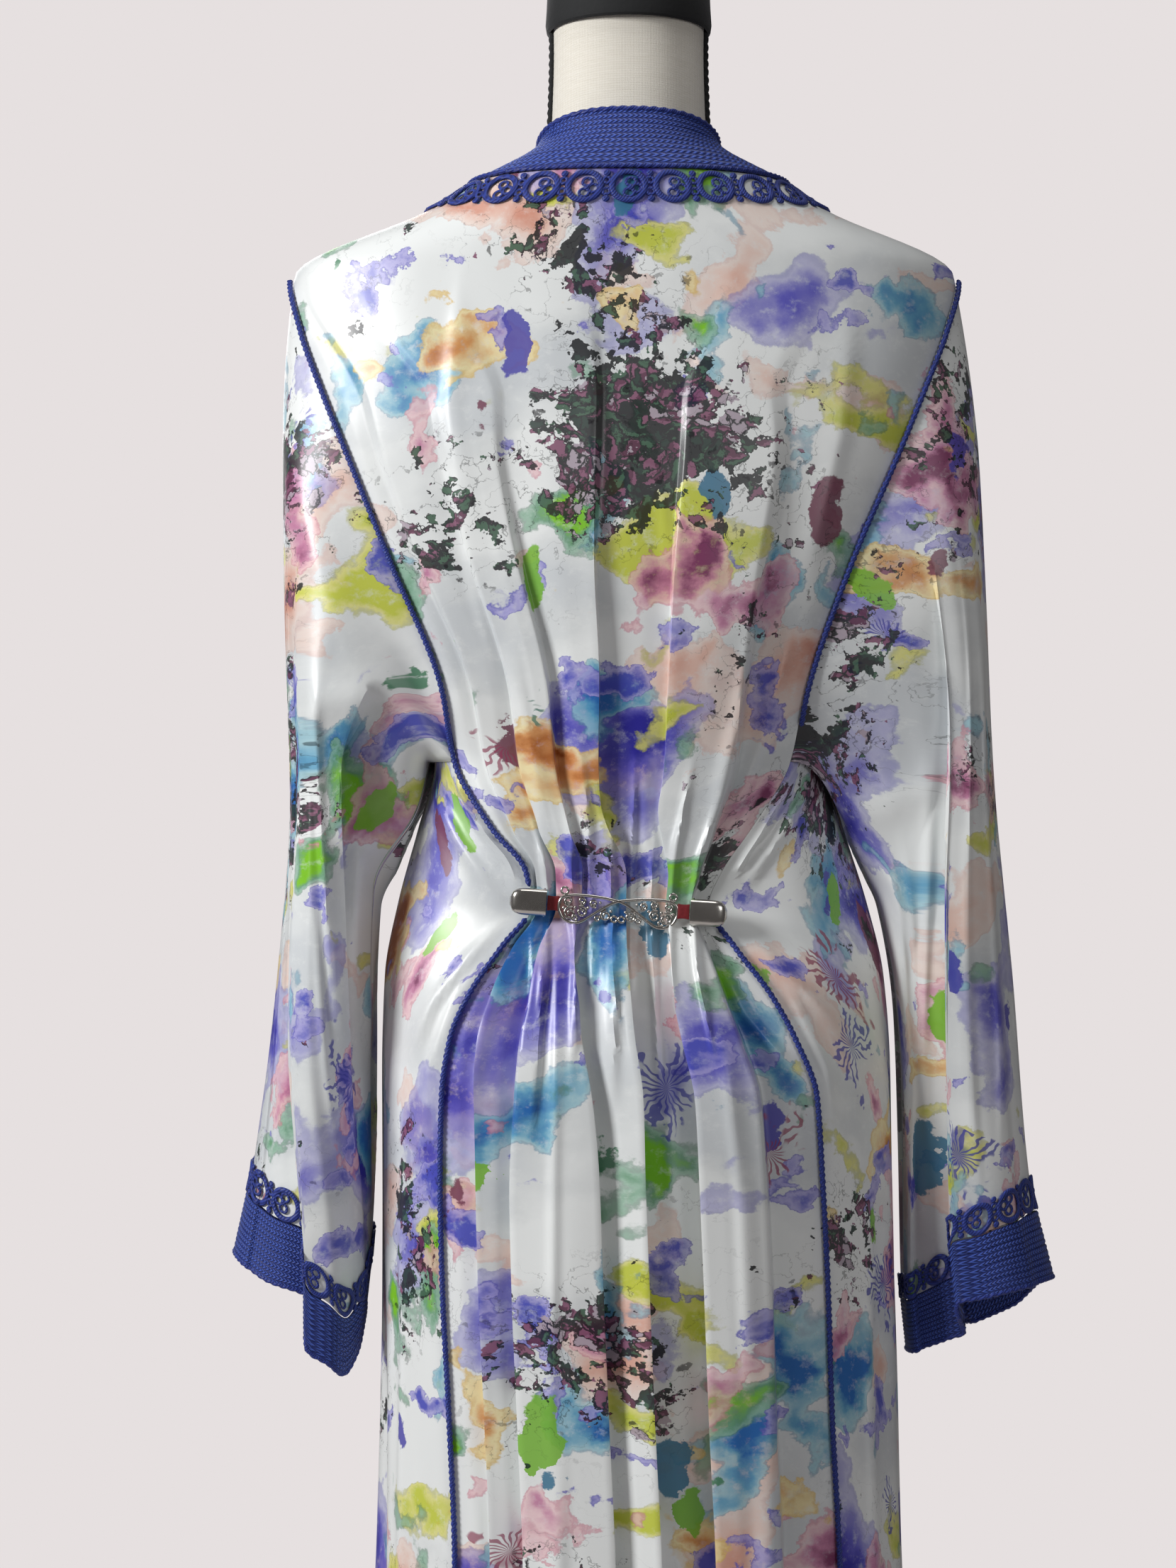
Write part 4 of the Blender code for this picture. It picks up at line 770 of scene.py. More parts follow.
centreBack = sheetGrid("centreBack", backFolds["columns"], backFolds["rows"], backPlace,
                       backFolds["cut"], unfold=backUnfold)
addWall(centreBack, body["cloth"])
dress(centreBack, satin, ["back_panel"])
print("centre back made")


# fronts and gores

frontCloth = {
    "waves": 3.0, "depth": 0.0065, "shift": 0.15, "sway": 0.35,
    "columns": 56, "rows": 176, "cut": (0.24, 1.50),
    "ridges": [
        {"path": [(1.10, 0.060), (0.80, 0.066), (0.40, 0.070), (0.05, 0.074)], "rise": 3.0, "left": 12, "right": 8},
        {"path": [(1.30, 0.098), (1.10, 0.092), (0.80, 0.096), (0.50, 0.099)], "rise": 2.5, "left": 8, "right": 12},
        {"path": [(0.80, 0.112), (0.50, 0.118), (0.20, 0.126), (0.05, 0.128)], "rise": 3.5, "left": 9, "right": 12}],
}
goreCloth = {
    "waves": 1.5, "depth": 0.0040, "shift": 0.10, "sway": 0.20,
    "columns": 62, "rows": 190, "cut": (0.34, 1.08),
    "ridges": {
        1: [{"path": [(1.105, 0.1315), (1.06, 0.1055), (1.03, 0.0815), (1.008, 0.0770)], "rise": 5.0, "left": 4, "right": 3},
            {"path": [(1.09, 0.143), (1.05, 0.122), (1.02, 0.100), (1.004, 0.088)], "rise": 3.2, "left": 8, "right": 5},
            {"path": [(1.000, 0.084), (0.97, 0.112), (0.935, 0.140), (0.89, 0.158)], "rise": 3.4, "left": 8, "right": 6},
            {"path": [(0.985, 0.092), (0.94, 0.124), (0.89, 0.143), (0.80, 0.149)], "rise": 2.6, "left": 5, "right": 7},
            {"path": [(0.90, 0.164), (0.70, 0.160), (0.45, 0.163), (0.10, 0.172)], "rise": 3.6, "left": 5, "right": 8}],
        -1: [{"path": [(1.105, 0.1235), (1.06, 0.0955), (1.03, 0.0745), (1.008, 0.0640)], "rise": 5.0, "left": 3, "right": 4},
             {"path": [(1.10, 0.136), (1.06, 0.112), (1.03, 0.090), (1.008, 0.076)], "rise": 3.6, "left": 4, "right": 7},
             {"path": [(1.000, 0.070), (0.97, 0.098), (0.94, 0.128), (0.91, 0.158)], "rise": 3.0, "left": 6, "right": 8},
             {"path": [(0.985, 0.082), (0.94, 0.114), (0.89, 0.138), (0.79, 0.148)], "rise": 2.6, "left": 7, "right": 5},
             {"path": [(0.88, 0.172), (0.68, 0.166), (0.42, 0.172), (0.08, 0.188)], "rise": 3.6, "left": 8, "right": 5}],
    },
}


def waveHeight(cloth, share, z):
    grown = smoothStep((1.30 - z) / 0.9)
    bend = share + cloth["sway"] * math.sin(math.pi * share) * 0.25
    turn = 2 * math.pi * (cloth["waves"] * bend + cloth["shift"])
    shape = math.sin(turn) * 0.75 + 0.25 * math.sin(2.1 * turn + 0.8)
    return cloth["depth"] * grown * shape * max(0.0, math.sin(math.pi * share)) ** 0.5


def frontSeamX(side, z):
    edge = abs(seamX(side, z))
    if z >= body["shoulder"]:
        return edge
    skirt = 0.118 + 0.030 * smoothStep((body["underarm"] - z) / 0.9)
    return edge + (skirt - edge) * smoothStep((1.20 - z) / 0.14)


def necklineX(z):
    straight = body["frontEdge"] + body["frontBandWide"]
    share = max(0.0, (z - body["vPoint"]) / (body["bandEdge"] - body["vPoint"]))
    return straight + (0.1187 - straight) * share ** 1.15


def frontPlace(side):
    def place(u, v):
        z = float(np.interp(v, [0.0, 0.10, 1.0], [1.528, 1.45, body["hem"]]))
        share = u
        outer, inner = frontSeamX(side, z), necklineX(z)
        crowd = smoothStep((z - 1.36) / 0.09)
        eased = share * (1 - crowd) + (1 - math.cos(share * math.pi / 2)) * crowd
        x = side * (outer + (inner - outer) * eased)
        calm = smoothStep(share / 0.06) * smoothStep((1 - share) / 0.06)
        push = waveHeight(frontCloth, share, z)
        push += ridgeHeight(frontCloth["ridges"], abs(x), z) * calm
        point = Vector((x, frontY(x, z), z))
        push += unevenness(point, 24.0, 9.0 * side) * 0.0012 * calm
        point.y -= push
        return point
    return place


def frontUnfold(u, v, point):
    return (abs(point.x) * 1.15, body["bandEdge"] - point.z)


def gorePlace(side):
    def place(u, v):
        z = body["underarm"] + (body["hem"] - body["underarm"]) * v
        start = turnAt(side, seamX(side, z), z)
        end = turnAt(side, frontSeamX(side, z), z, True)
        turn = start + (end - start) * u
        point = sidePoint(side, turn, z)
        calm = smoothStep(u / 0.08) * smoothStep((1 - u) / 0.08)
        # a bright upright fold behind the side, with a hollow next to it
        fold = 0.0030 * math.exp(-((u - 0.30) / 0.07) ** 2) - 0.0022 * math.exp(-((u - 0.42) / 0.05) ** 2)
        fold += 0.0020 * math.exp(-((u - 0.14) / 0.05) ** 2)
        fold *= smoothStep((1.02 - z) / 0.25)
        push = waveHeight(goreCloth, u, z) + (fold + unevenness(point, 24.0, 5.0 * side) * 0.0012) * calm
        if turn > 0:
            push += ridgeHeight(goreCloth["ridges"][side], abs(point.x), z) * smoothStep(u / 0.025)
        return point + sideNormal(side, turn, z) * push
    return place


bodyPanels = [centreBack]
for side, where in ((1, "Left"), (-1, "Right")):
    front = sheetGrid("front" + where, frontCloth["columns"], frontCloth["rows"], frontPlace(side),
                      frontCloth["cut"], (2.0 + side * 0.6, 0.3), unfold=frontUnfold)
    addWall(front, body["cloth"])
    dress(front, satin, ["front_panel_" + where.lower()])
    bodyPanels.append(front)
    gore = sheetGrid("gore" + where, goreCloth["columns"], goreCloth["rows"], gorePlace(side),
                     goreCloth["cut"], (5.0 + side * 0.8, 0.7))
    addWall(gore, body["cloth"])
    dress(gore, satin, ["gore_" + where.lower()])
print("fronts and gores made")


# sleeves

sleeves = {
    # share of the length, outer edge x and z, inner edge x and z, depth behind and in front
    1: {"sections": [(0.00, 0.2466, 1.466, 0.1430, 1.108, 0.080, 0.090),
                     (0.12, 0.2550, 1.375, 0.1480, 1.066, 0.074, 0.092),
                     (0.30, 0.2535, 1.240, 0.1830, 1.000, 0.068, 0.092),
                     (0.50, 0.2500, 1.090, 0.1860, 0.915, 0.064, 0.092),
                     (0.70, 0.2600, 0.950, 0.1860, 0.825, 0.060, 0.090),
                     (0.90, 0.2760, 0.812, 0.1900, 0.730, 0.058, 0.088),
                     (1.00, 0.2900, 0.744, 0.1960, 0.672, 0.058, 0.088)],
        # place round the tube, step in millimetres, width, and its strength along the sleeve
        "steps": [(0.110, -5, 0.020, "always"), (0.285, 20, 0.012, "low"), (0.420, -28, 0.013, "high"),
                  (0.640, 8, 0.03, "always"), (0.790, -11, 0.02, "always"), (0.900, 6, 0.05, "always")],
        # where the near fold's edges run: share of the length, and places round the tube
        "wander": [(0.00, 0.200, 0.340), (0.15, 0.150, 0.300), (0.30, 0.128, 0.283),
                   (0.50, 0.132, 0.300), (0.70, 0.185, 0.353), (0.80, 0.240, 0.405),
                   (0.90, 0.285, 0.440), (1.00, 0.322, 0.458)],
        "ribs": [(0.350, 5.0, 0.045), (0.055, 3.0, 0.012), (0.17, 2.6, 0.016), (0.225, 2.4, 0.012), (0.335, 2.2, 0.016),
                 (0.375, 2.6, 0.012), (0.46, 2.2, 0.014), (0.56, 2.5, 0.015), (0.70, 3.0, 0.02),
                 (0.86, 2.6, 0.02), (0.955, 2.4, 0.015)]},
    -1: {"sections": [(0.00, 0.2400, 1.466, 0.1450, 1.108, 0.078, 0.090),
                      (0.12, 0.2540, 1.375, 0.1500, 1.066, 0.074, 0.092),
                      (0.30, 0.2620, 1.240, 0.1850, 1.000, 0.068, 0.092),
                      (0.50, 0.2700, 1.090, 0.1980, 0.915, 0.064, 0.092),
                      (0.70, 0.2830, 0.945, 0.2010, 0.830, 0.060, 0.090),
                      (0.90, 0.2950, 0.805, 0.2030, 0.742, 0.058, 0.088),
                      (1.00, 0.3120, 0.730, 0.2080, 0.686, 0.058, 0.088)],
         "steps": [(0.130, 7, 0.03, "always"), (0.270, -20, 0.012, "always"), (0.400, 9, 0.04, "always"),
                   (0.620, 9, 0.03, "always"), (0.760, -12, 0.02, "always"), (0.880, 6, 0.05, "always")],
         "wander": [(0.00, 0.230, 0.400), (0.15, 0.205, 0.395), (0.30, 0.208, 0.390),
                    (0.50, 0.250, 0.400), (0.70, 0.278, 0.415), (0.90, 0.292, 0.425),
                    (1.00, 0.305, 0.430)],
         "ribs": [(0.045, 2.6, 0.012), (0.16, 3.0, 0.016), (0.215, 2.6, 0.010), (0.33, 2.6, 0.016),
                  (0.40, 2.4, 0.012), (0.455, 2.2, 0.014), (0.58, 2.5, 0.015), (0.69, 3.0, 0.02),
                  (0.84, 2.6, 0.02), (0.95, 2.4, 0.015)]},
    "near": {1: (0.285, 0.420), -1: (0.270, 0.400)},
    "strength": {"always": [(0.06, 0.0), (0.26, 0.6), (0.46, 1.0)],
                 "low": [(0.42, 0.0), (0.60, 0.55), (0.80, 1.0)],
                 "high": [(0.08, 0.0), (0.24, 0.9), (0.60, 1.0), (0.86, 0.15), (1.0, 0.0)]},
    # creases that run slantwise: share and place where each starts and ends, rise, width
    "creases": {1: [(0.10, 0.455, 0.36, 0.335, 5.0, 0.017), (0.14, 0.475, 0.46, 0.385, 5.5, 0.018),
                    (0.22, 0.485, 0.58, 0.430, 5.0, 0.018), (0.30, 0.360, 0.62, 0.400, 3.5, 0.015),
                    (0.18, 0.100, 0.52, 0.175, 3.0, 0.016), (0.52, 0.350, 0.86, 0.395, 3.5, 0.018)],
                -1: [(0.10, 0.450, 0.34, 0.315, 5.0, 0.017), (0.13, 0.478, 0.44, 0.370, 5.5, 0.017),
                     (0.20, 0.488, 0.56, 0.425, 5.0, 0.018), (0.34, 0.330, 0.66, 0.375, 3.5, 0.016),
                     (0.16, 0.090, 0.48, 0.150, 3.0, 0.016), (0.55, 0.400, 0.88, 0.360, 3.5, 0.018)]},
    # where the front lobe's edge turns over: place, how far out it leans, and the cuff's level
    "turnOver": {1: (0.292, 0.0125, 0.272, -0.006), -1: (0.258, -0.0125, 0.278, 0.006)},
    "levels": {1: [(0.0, 0.004), (0.15, 0.010), (0.268, 0.024), (0.300, -0.006), (0.345, -0.014),
                   (0.40, 0.002), (0.46, 0.024), (0.52, 0.034), (0.62, 0.022), (0.80, 0.008),
                   (1.0, 0.004)],
               -1: [(0.0, -0.002), (0.10, 0.007), (0.252, 0.018), (0.282, -0.006), (0.40, -0.010),
                    (0.48, -0.012), (0.60, -0.028), (0.74, -0.032), (0.86, -0.026), (0.95, -0.010),
                    (1.0, -0.002)]},
    "hidden": 0.055,
    "columns": 164, "rows": 122, "cuffAt": 0.935, "sideSpan": 0.44, "standOff": 0.0045,
    "bodyClear": 0.0075, "cut": (0.60, 0.62),
}


def armholePoint(side, place):
    # the armhole seam: 0 at the shoulder, over the back to 0.5 at the underarm
    span = sleeves["sideSpan"]
    drop = body["shoulder"] - body["underarm"]
    place = place % 1.0
    if place <= span or place >= 1 - span:
        toFront = place > 0.5
        near = 1 - place if toFront else place
        share = (1 - math.cos(math.pi * near / span)) / 2
        z = body["shoulder"] - drop * share
        x = frontSeamX(side, z) if toFront else seamX(side, z)
        turn = turnAt(side, x, z, toFront)
        push = sideNormal(side, turn, z) * sleeves["standOff"] * smoothStep((near - span + 0.03) / 0.03)
        return sidePoint(side, turn, z), push
    z = body["underarm"]
    start = turnAt(side, seamX(side, z), z)
    end = turnAt(side, frontSeamX(side, z), z, True)
    turn = start + (end - start) * (place - span) / (1 - 2 * span)
    return sidePoint(side, turn, z), sideNormal(side, turn, z) * sleeves["standOff"]


def tubePoint(side, share, place):
    table = sleeves[side]["sections"]
    outerX, outerZ, innerX, innerZ, back, front = [readCurve(table, k, share) for k in range(1, 7)]
    near, wander = sleeves["near"][side], sleeves[side]["wander"]
    angle = 2 * math.pi * float(np.interp(place, (0.0, *near, 0.62, 1.0), (
        0.0, readCurve(wander, 1, share), readCurve(wander, 2, share), 0.62, 1.0)))
    across = (1 - math.cos(angle)) / 2
    x = outerX + (innerX - outerX) * across
    z = outerZ + (innerZ - outerZ) * across
    rise = math.sin(angle)
    y = (back if rise >= 0 else front) * math.copysign(abs(rise) ** 0.85, rise)
    def strength(kind):
        rows = sleeves["strength"][kind]
        return float(np.interp(share, [row[0] for row in rows], [row[1] for row in rows]))
    fold = sum(rise * strength(kind) * smoothStep((place - at) / wide + 0.5)
               * (1 - smoothStep((place - at - 0.11) / 0.12))
               for at, rise, wide, kind in sleeves[side]["steps"])
    grown = smoothStep((share - 0.06) / 0.40)
    if share < 0.90:
        fold += sum(rib[1] * math.exp(-((place - rib[0] - 0.02 * math.sin(share * 5 + rib[1] * 9)) / rib[2]) ** 2)
                    for rib in sleeves[side]["ribs"]) * smoothStep((0.93 - share) / 0.2) * grown
    for start, placeStart, end, placeEnd, height, width in sleeves["creases"][side]:
        if start < share < end:
            t = (share - start) / (end - start)
            aside = place - placeStart - (placeEnd - placeStart) * t
            fold += (height * math.exp(-(aside / width) ** 2) * math.sin(math.pi * t) ** 0.6
                     * smoothStep((share - 0.06) / 0.10))
    y += math.copysign(1.0, rise) * fold / 1000.0 * abs(rise) ** 0.6
    crestAt, crestLean, footAt, footLean = sleeves["turnOver"][side]
    x += (crestLean * math.exp(-((place - crestAt) / 0.016) ** 2)
          + footLean * math.exp(-((place - footAt) / 0.014) ** 2)
          ) * strength("low" if side > 0 else "always")
    if side > 0:
        x += (-0.009 * math.exp(-((place - 0.411) / 0.014) ** 2)
              + 0.008 * math.exp(-((place - 0.431) / 0.014) ** 2)) * strength("high")
    z += readCurve(sleeves["levels"][side], 1, place) * smoothStep((share - 0.45) / 0.5)
    if z < body["underarm"] + 0.02:
        depthShare = min(0.999, abs(y) / readCurve(body["sections"], 3 if y > 0 else 4, z))
        power = body["backRound"]
        wide = halfWidth(side, z) * (1 - depthShare ** power) ** (1 / power)
        x = max(x, wide + sleeves["bodyClear"] * smoothStep((body["underarm"] + 0.02 - z) / 0.05))
    return Vector((side * x, y, z))


def sleeveSurface(side, share, place):
    blend = smoothStep(share / 0.17)
    point = tubePoint(side, share, place)
    if blend < 1:
        held, push = armholePoint(side, place)
        standOff = min(1.0, share / 0.03)
        point = (held + push * standOff) * (1 - blend) + point * blend
    uneven = unevenness(point, 22.0, 7.0 * side) * 0.0016
    uneven *= smoothStep(share / 0.1) * smoothStep((0.93 - share) / 0.1)
    centre = Vector((side * (0.19 + 0.05 * share), 0, point.z))
    return point + (point - centre).normalized() * uneven


def sleeveNormal(side, share, place):
    across = sleeveSurface(side, share, (place + 0.004) % 1.0) - sleeveSurface(side, share, (place - 0.004) % 1.0)
    along = sleeveSurface(side, min(1.0, share + 0.004), place) - sleeveSurface(side, share - 0.004, place)
    out = along.cross(across).normalized()
    return out if side > 0 else -out


hungSleeves = {}
for side, where in ((1, "Left"), (-1, "Right")):
    start = 0.004

    def sleevePlace(u, v, side=side):
        share = start + (sleeves["cuffAt"] - 0.0005 - start) * v
        point = sleeveSurface(side, share, u % 1.0)
        if v == 0.0:
            point = point + Vector((side * 0.0003, 0, 0.0004 if point.z < body["underarm"] + 0.002 else 0))
        return point

    def sleeveUnfold(u, v, point, side=side):
        # laid flat from the outer edge both ways to the underarm, with some hidden in the fold
        outer = readCurve(sleeves[side]["sections"], 1, sleeves["cuffAt"] * v)
        near = min(u, 1.0 - u)
        away = max(0.0, outer - abs(point.x)) + 0.05 * smoothStep(near / 0.18)
        away += 0.06 * smoothStep((near - 0.36) / 0.14)
        if u < 0.5:
            turn = smoothStep((u - sleeves["turnOver"][side][0]) / 0.02 + 0.5)
            away += sleeves["hidden"] * turn * smoothStep(v * 2.2 - 0.3)
        return (math.copysign(away, 0.5 - u), (body["shoulder"] - point.z) * 1.03)

    sleeve = sheetGrid("sleeve" + where, sleeves["columns"], sleeves["rows"], sleevePlace,
                       sleeves["cut"], (8.0 + side * 1.1, 1.9), True, side * 0.2, sleeveUnfold)
    addWall(sleeve, body["cloth"])
    dress(sleeve, satin, ["sleeve_" + where.lower()])
    hungSleeves[side] = sleeve
print("sleeves made")


# braid bands

bands = {"thick": 0.0026, "proud": 0.0008, "ridge": 0.0009, "rowWide": 0.0036, "cordRound": 0.0019}


def ridged(across, wide):
    # the height of the plaited rows over the width of a band
    return bands["ridge"] * abs(math.sin(math.pi * across * round(wide / bands["rowWide"]))) ** 0.6


def bandGrid(name, columns, rows, surface, long, wide, closed=False, pivotX=None):
    def place(u, v):
        point, out = surface(u, v)
        return point + out * (bands["proud"] + ridged(v, wide))
    piece = sheetGrid(name, columns, rows, place, (long, wide), (0.0, 0.0), closed, pivotX)
    addWall(piece, bands["thick"], 70)
    return piece


def twistedCord(name, path, out, radius, pitch, closed=False):
    # a cord of two strands: a grid rolled round its path, with the strands' twist in its radius
    around = 10
    lengths = [0.0]
    for a, b in zip(path, path[1:]):
        lengths.append(lengths[-1] + (b - a).length)
    steps = max(8, int(lengths[-1] / (pitch / 4.5)))

    def place(u, v):
        distance = lengths[-1] * (1 - v)
        index = min(len(path) - 2, int(np.searchsorted(lengths, distance, "right")) - 1)
        t = (distance - lengths[index]) / max(1e-9, lengths[index + 1] - lengths[index])
        at = path[index].lerp(path[index + 1], t)
        facing = out[index].lerp(out[index + 1], t).normalized()
        before, after = path[max(0, index - 1)], path[min(len(path) - 1, index + 2)]
        ahead = (after - before).normalized()
        aside = ahead.cross(facing).normalized()
        facing = aside.cross(ahead).normalized()
        angle = 2 * math.pi * u
        twist = 1.0 + 0.22 * math.cos(2 * angle - 2 * math.pi * distance / pitch)
        ends = 1.0 if closed else min(1.0, smoothStep(min(distance, lengths[-1] - distance) / radius) + 0.05)
        return at + (aside * math.cos(angle) + facing * math.sin(angle)) * radius * twist * ends
    piece = sheetGrid(name, around, steps, place, (radius * 6, lengths[-1]), closed=True)
    useOnly(piece)
    bpy.ops.object.mode_set(mode="EDIT")
    bpy.ops.mesh.select_all(action="DESELECT")
    bpy.ops.mesh.select_non_manifold()
    bpy.ops.mesh.fill_holes(sides=0)
    bpy.ops.mesh.select_all(action="SELECT")
    bpy.ops.mesh.normals_make_consistent(inside=False)
    bpy.ops.object.mode_set(mode="OBJECT")
    bpy.ops.object.shade_smooth_by_angle(angle=math.radians(80))
    return piece


def neckRib(along, across):
    # along runs from the V point on the left over the back to the V point on the right
    frontShare = 0.345
    if along < frontShare or along > 1 - frontShare:
        side = 1 if along < 0.5 else -1
        t = along / frontShare if side > 0 else (1 - along) / frontShare
        top = body["bandEdge"] - 0.002
        z = body["vPoint"] + (top - body["vPoint"]) * t
        down = (body["bandEdge"] - z) / (body["bandEdge"] - body["vPoint"])
        innerZ = body["neckRidge"] + (body["vPoint"] - body["neckRidge"]) * down
        innerX = body["frontEdge"] + (0.0654 - body["frontEdge"]) * (1 - down) ** 1.25
        x = innerX + (necklineX(z) - innerX) * across
        level = innerZ + (z - innerZ) * across
        turn = turnAt(side, x, level, True)
    else:
        t = (along - frontShare) / (1 - 2 * frontShare)
        x = 0.1187 * math.cos(math.pi * t)
        side = 1 if x >= 0 else -1
        turn = turnAt(side, x, body["bandEdge"])
        upper = body["neckRidge"] + (body["neckBack"] - body["neckRidge"]) * math.sin(turn)
        level = upper + (body["bandEdge"] + 0.0003 - upper) * across
    return sidePoint(side, turn, level), sideNormal(side, turn, level)


neckBand = bandGrid("neckBand", 300, 40, neckRib, 0.72, 0.043)
dress(neckBand, plait, ["collar_band"])
neckEdge = [neckRib(k / 260, 0.0) for k in range(261)]
neckCord = twistedCord("neckCord", [p + o * 0.0012 for p, o in neckEdge], [o for p, o in neckEdge],
                       bands["cordRound"], 0.0075)
dress(neckCord, cordBlue)
lowEdge = [neckRib(k / 260, 0.985) for k in range(261)]
lowCord = twistedCord("neckLowerCord", [p + o * 0.0020 for p, o in lowEdge], [o for p, o in lowEdge],
                      0.0015, 0.006)
dress(lowCord, cordBlue)

for side, where in ((1, "Left"), (-1, "Right")):
    def frontRib(u, v, side=side):
        z = body["vPoint"] - 0.0003 + (body["hem"] - body["vPoint"] + 0.0003) * u
        x = body["frontEdge"] + (body["frontBandWide"] - 0.0003) * v
        turn = turnAt(side, x, z, True)
        return sidePoint(side, turn, z), sideNormal(side, turn, z)
    band = bandGrid("frontBand" + where, 150, 32, frontRib, 1.296, 0.032)
    dress(band, plait, ["front_band_" + where.lower()])

    def cuffRib(u, v, side=side):
        share = sleeves["cuffAt"] + 0.001 + (1.0 - sleeves["cuffAt"] - 0.001) * v
        return sleeveSurface(side, share, u % 1.0), sleeveNormal(side, share, u % 1.0)
    cuff = bandGrid("cuff" + where, 200, 40, cuffRib, 0.47, 0.042, True, side * 0.24)
    dress(cuff, plait, ["cuff_" + where.lower()])
    edge = [cuffRib(k / 180, 1.0) for k in range(181)]
    hemCord = twistedCord("cuffCord" + where, [p + o * 0.0004 for p, o in edge], [o for p, o in edge],
                          0.0017, 0.0065, True)
    dress(hemCord, cordBlue)
print("bands made")


# scroll braid

roundel = {"ring": 0.0102, "cord": 0.0021, "lobe": 0.0029, "lobeCord": 0.0011, "disc": 0.0024,
           "flat": 0.55, "pitch": 0.0270}


def flatRing(centre, major, minor, around=28, sides=6):
    deselectAll()
    bpy.ops.mesh.primitive_torus_add(location=(*centre, 0.0), major_radius=major, minor_radius=minor,
                                     major_segments=around, minor_segments=sides)
    ring = bpy.context.object
    ring.scale = (1, 1, roundel["flat"])
    applyPlace(ring)
    return ring


def flatDisc(centre, radius):
    deselectAll()
    bpy.ops.mesh.primitive_uv_sphere_add(location=(*centre, 0.0), radius=radius, segments=12,
                                         ring_count=6)
    disc = bpy.context.object
    disc.scale = (1, 1, roundel["flat"])
    applyPlace(disc)
    return disc


def makeRoundel(mirrored):
    flip = -1 if mirrored else 1
    bits = [flatRing((0, 0), roundel["ring"], roundel["cord"], 36)]
    for k, angle in enumerate((-1.9, -0.15, 1.55)):
        middle = Vector((0.0014 * flip, -0.0012))
        at = middle + Vector((math.cos(angle) * flip, math.sin(angle))) * 0.0040
        bits.append(flatRing(at, roundel["lobe"], roundel["lobeCord"], 18, 5))
    bits.append(flatDisc((0.0014 * flip, -0.0012), 0.0019))
    for up in (1, -1):
        bits.append(flatDisc((roundel["pitch"] / 2, up * 0.0092), roundel["disc"]))
        bits.append(flatRing((roundel["pitch"] / 2, up * 0.0040), 0.0022, 0.0011, 14, 5))
    made = joinPieces(bits, "roundelPattern")
    made.data.shade_smooth()
    return made


def scrollRun(name, count, surface, skin, long, nodes, mirrored=False):
    # copies of one roundel, each bent onto the cloth below it
    pattern = makeRoundel(mirrored)
    flat = np.array([tuple(v.co) for v in pattern.data.vertices])
    marks = [k / 300 for k in range(301)]
    middles = [surface(mark, 0.5)[0] for mark in marks]
    passed = np.cumsum([0.0] + [(b - a).length for a, b in zip(middles, middles[1:])])
    pitch = passed[-1] / count
    copies = []
    for k in range(count):
        copy = pattern.copy()
        copy.data = pattern.data.copy()
        bpy.context.collection.objects.link(copy)
        for vertex, (x, y, z) in zip(copy.data.vertices, flat):
            along = float(np.interp((k + 0.5) * pitch + x * pitch / roundel["pitch"], passed, marks))
            across = 0.5 - y / 0.0262
            point, out = surface(along, across)
            if skin is not None:
                point = ontoSkin(skin, point, out)
            vertex.co = point + out * (z + roundel["cord"] * roundel["flat"] + 0.0003)
        copies.append(copy)
    bpy.data.objects.remove(pattern)
    run = joinPieces(copies, name)
    dress(run, cordBlue, nodes)
    return run


def neckTrim(along, across):
    backShare = 0.46
    place = 1 - 2 * min(1.0, max(0.0, along))
    side = 1 if place >= 0 else -1
    share = abs(place)
    if share <= backShare:
        turn = math.pi / 2 * (1 - share / backShare)
        lower = 1.5035 + (1.511 - 1.5035) * (1 - math.sin(turn))
        z = body["bandEdge"] - 0.0004 + (lower - body["bandEdge"]) * across
        x, level = sidePoint(side, turn, z).x, (body["bandEdge"] + lower) / 2
        x += (sidePoint(side, turn, level).x - x) * 0.7 * smoothStep(turn / 0.9)
        turn = turnAt(side, x, z)
        return sidePoint(side, turn, z), sideNormal(side, turn, z)
    down = (share - backShare) / (1 - backShare)
    z = body["bandEdge"] - 0.0004 + (body["vPoint"] + 0.030 - body["bandEdge"]) * down
    x = necklineX(z) + 0.0014
    away = 0.0305 + (0.022 - 0.0305) * smoothStep(down * 3)
    x += away * across * (0.75 + 0.2 * (1 - down))
    z -= away * across * (0.60 - 0.15 * down)
    turn = turnAt(side, x, z, True)
    return sidePoint(side, turn, z), sideNormal(side, turn, z)


bodySkin = skinOf(bodyPanels)
scrollRun("neckScroll", 27, neckTrim, bodySkin, 0.60, ["neck_scroll_trim"])
for side, where in ((1, "Left"), (-1, "Right")):
    def cuffTrim(along, across, side=side):
        share = sleeves["cuffAt"] + 0.0016 - 0.038 * across
        return sleeveSurface(side, share, along % 1.0), sleeveNormal(side, share, along % 1.0)
    scrollRun("cuffScroll" + where, 18, cuffTrim, None, 0.47, ["cuff_scroll_" + where.lower()], side > 0)
print("scroll braid made")


# piping

piping = {"radius": 0.0019, "runs": [
    ("pipingLeftUpper", 1, 1.462, 1.0185, 0.0010, "piping_left_upper"),
    ("pipingLeftLower", 1, 0.996, 0.037, 0.0008, "piping_left_lower"),
    ("pipingRightUpper", -1, 1.462, 1.134, 0.0010, "piping_right_upper"),
    ("pipingRightLower", -1, 0.992, 0.037, 0.0008, "piping_right_lower")]}
for name, side, top, bottom, lift, node in piping["runs"]:
    count = int((top - bottom) / 0.004)
    path, outs = [], []
    for k in range(count + 1):
        z = bottom + (top - bottom) * k / count
        turn = turnAt(side, seamX(side, z), z)
        out = sideNormal(side, turn, z)
        path.append(sidePoint(side, turn, z) + out * (piping["radius"] + lift))
        outs.append(out)
    cord = twistedCord(name, path, outs, piping["radius"], 0.0045)
    dress(cord, cordBlue, [node])
print("piping made")


# clasp

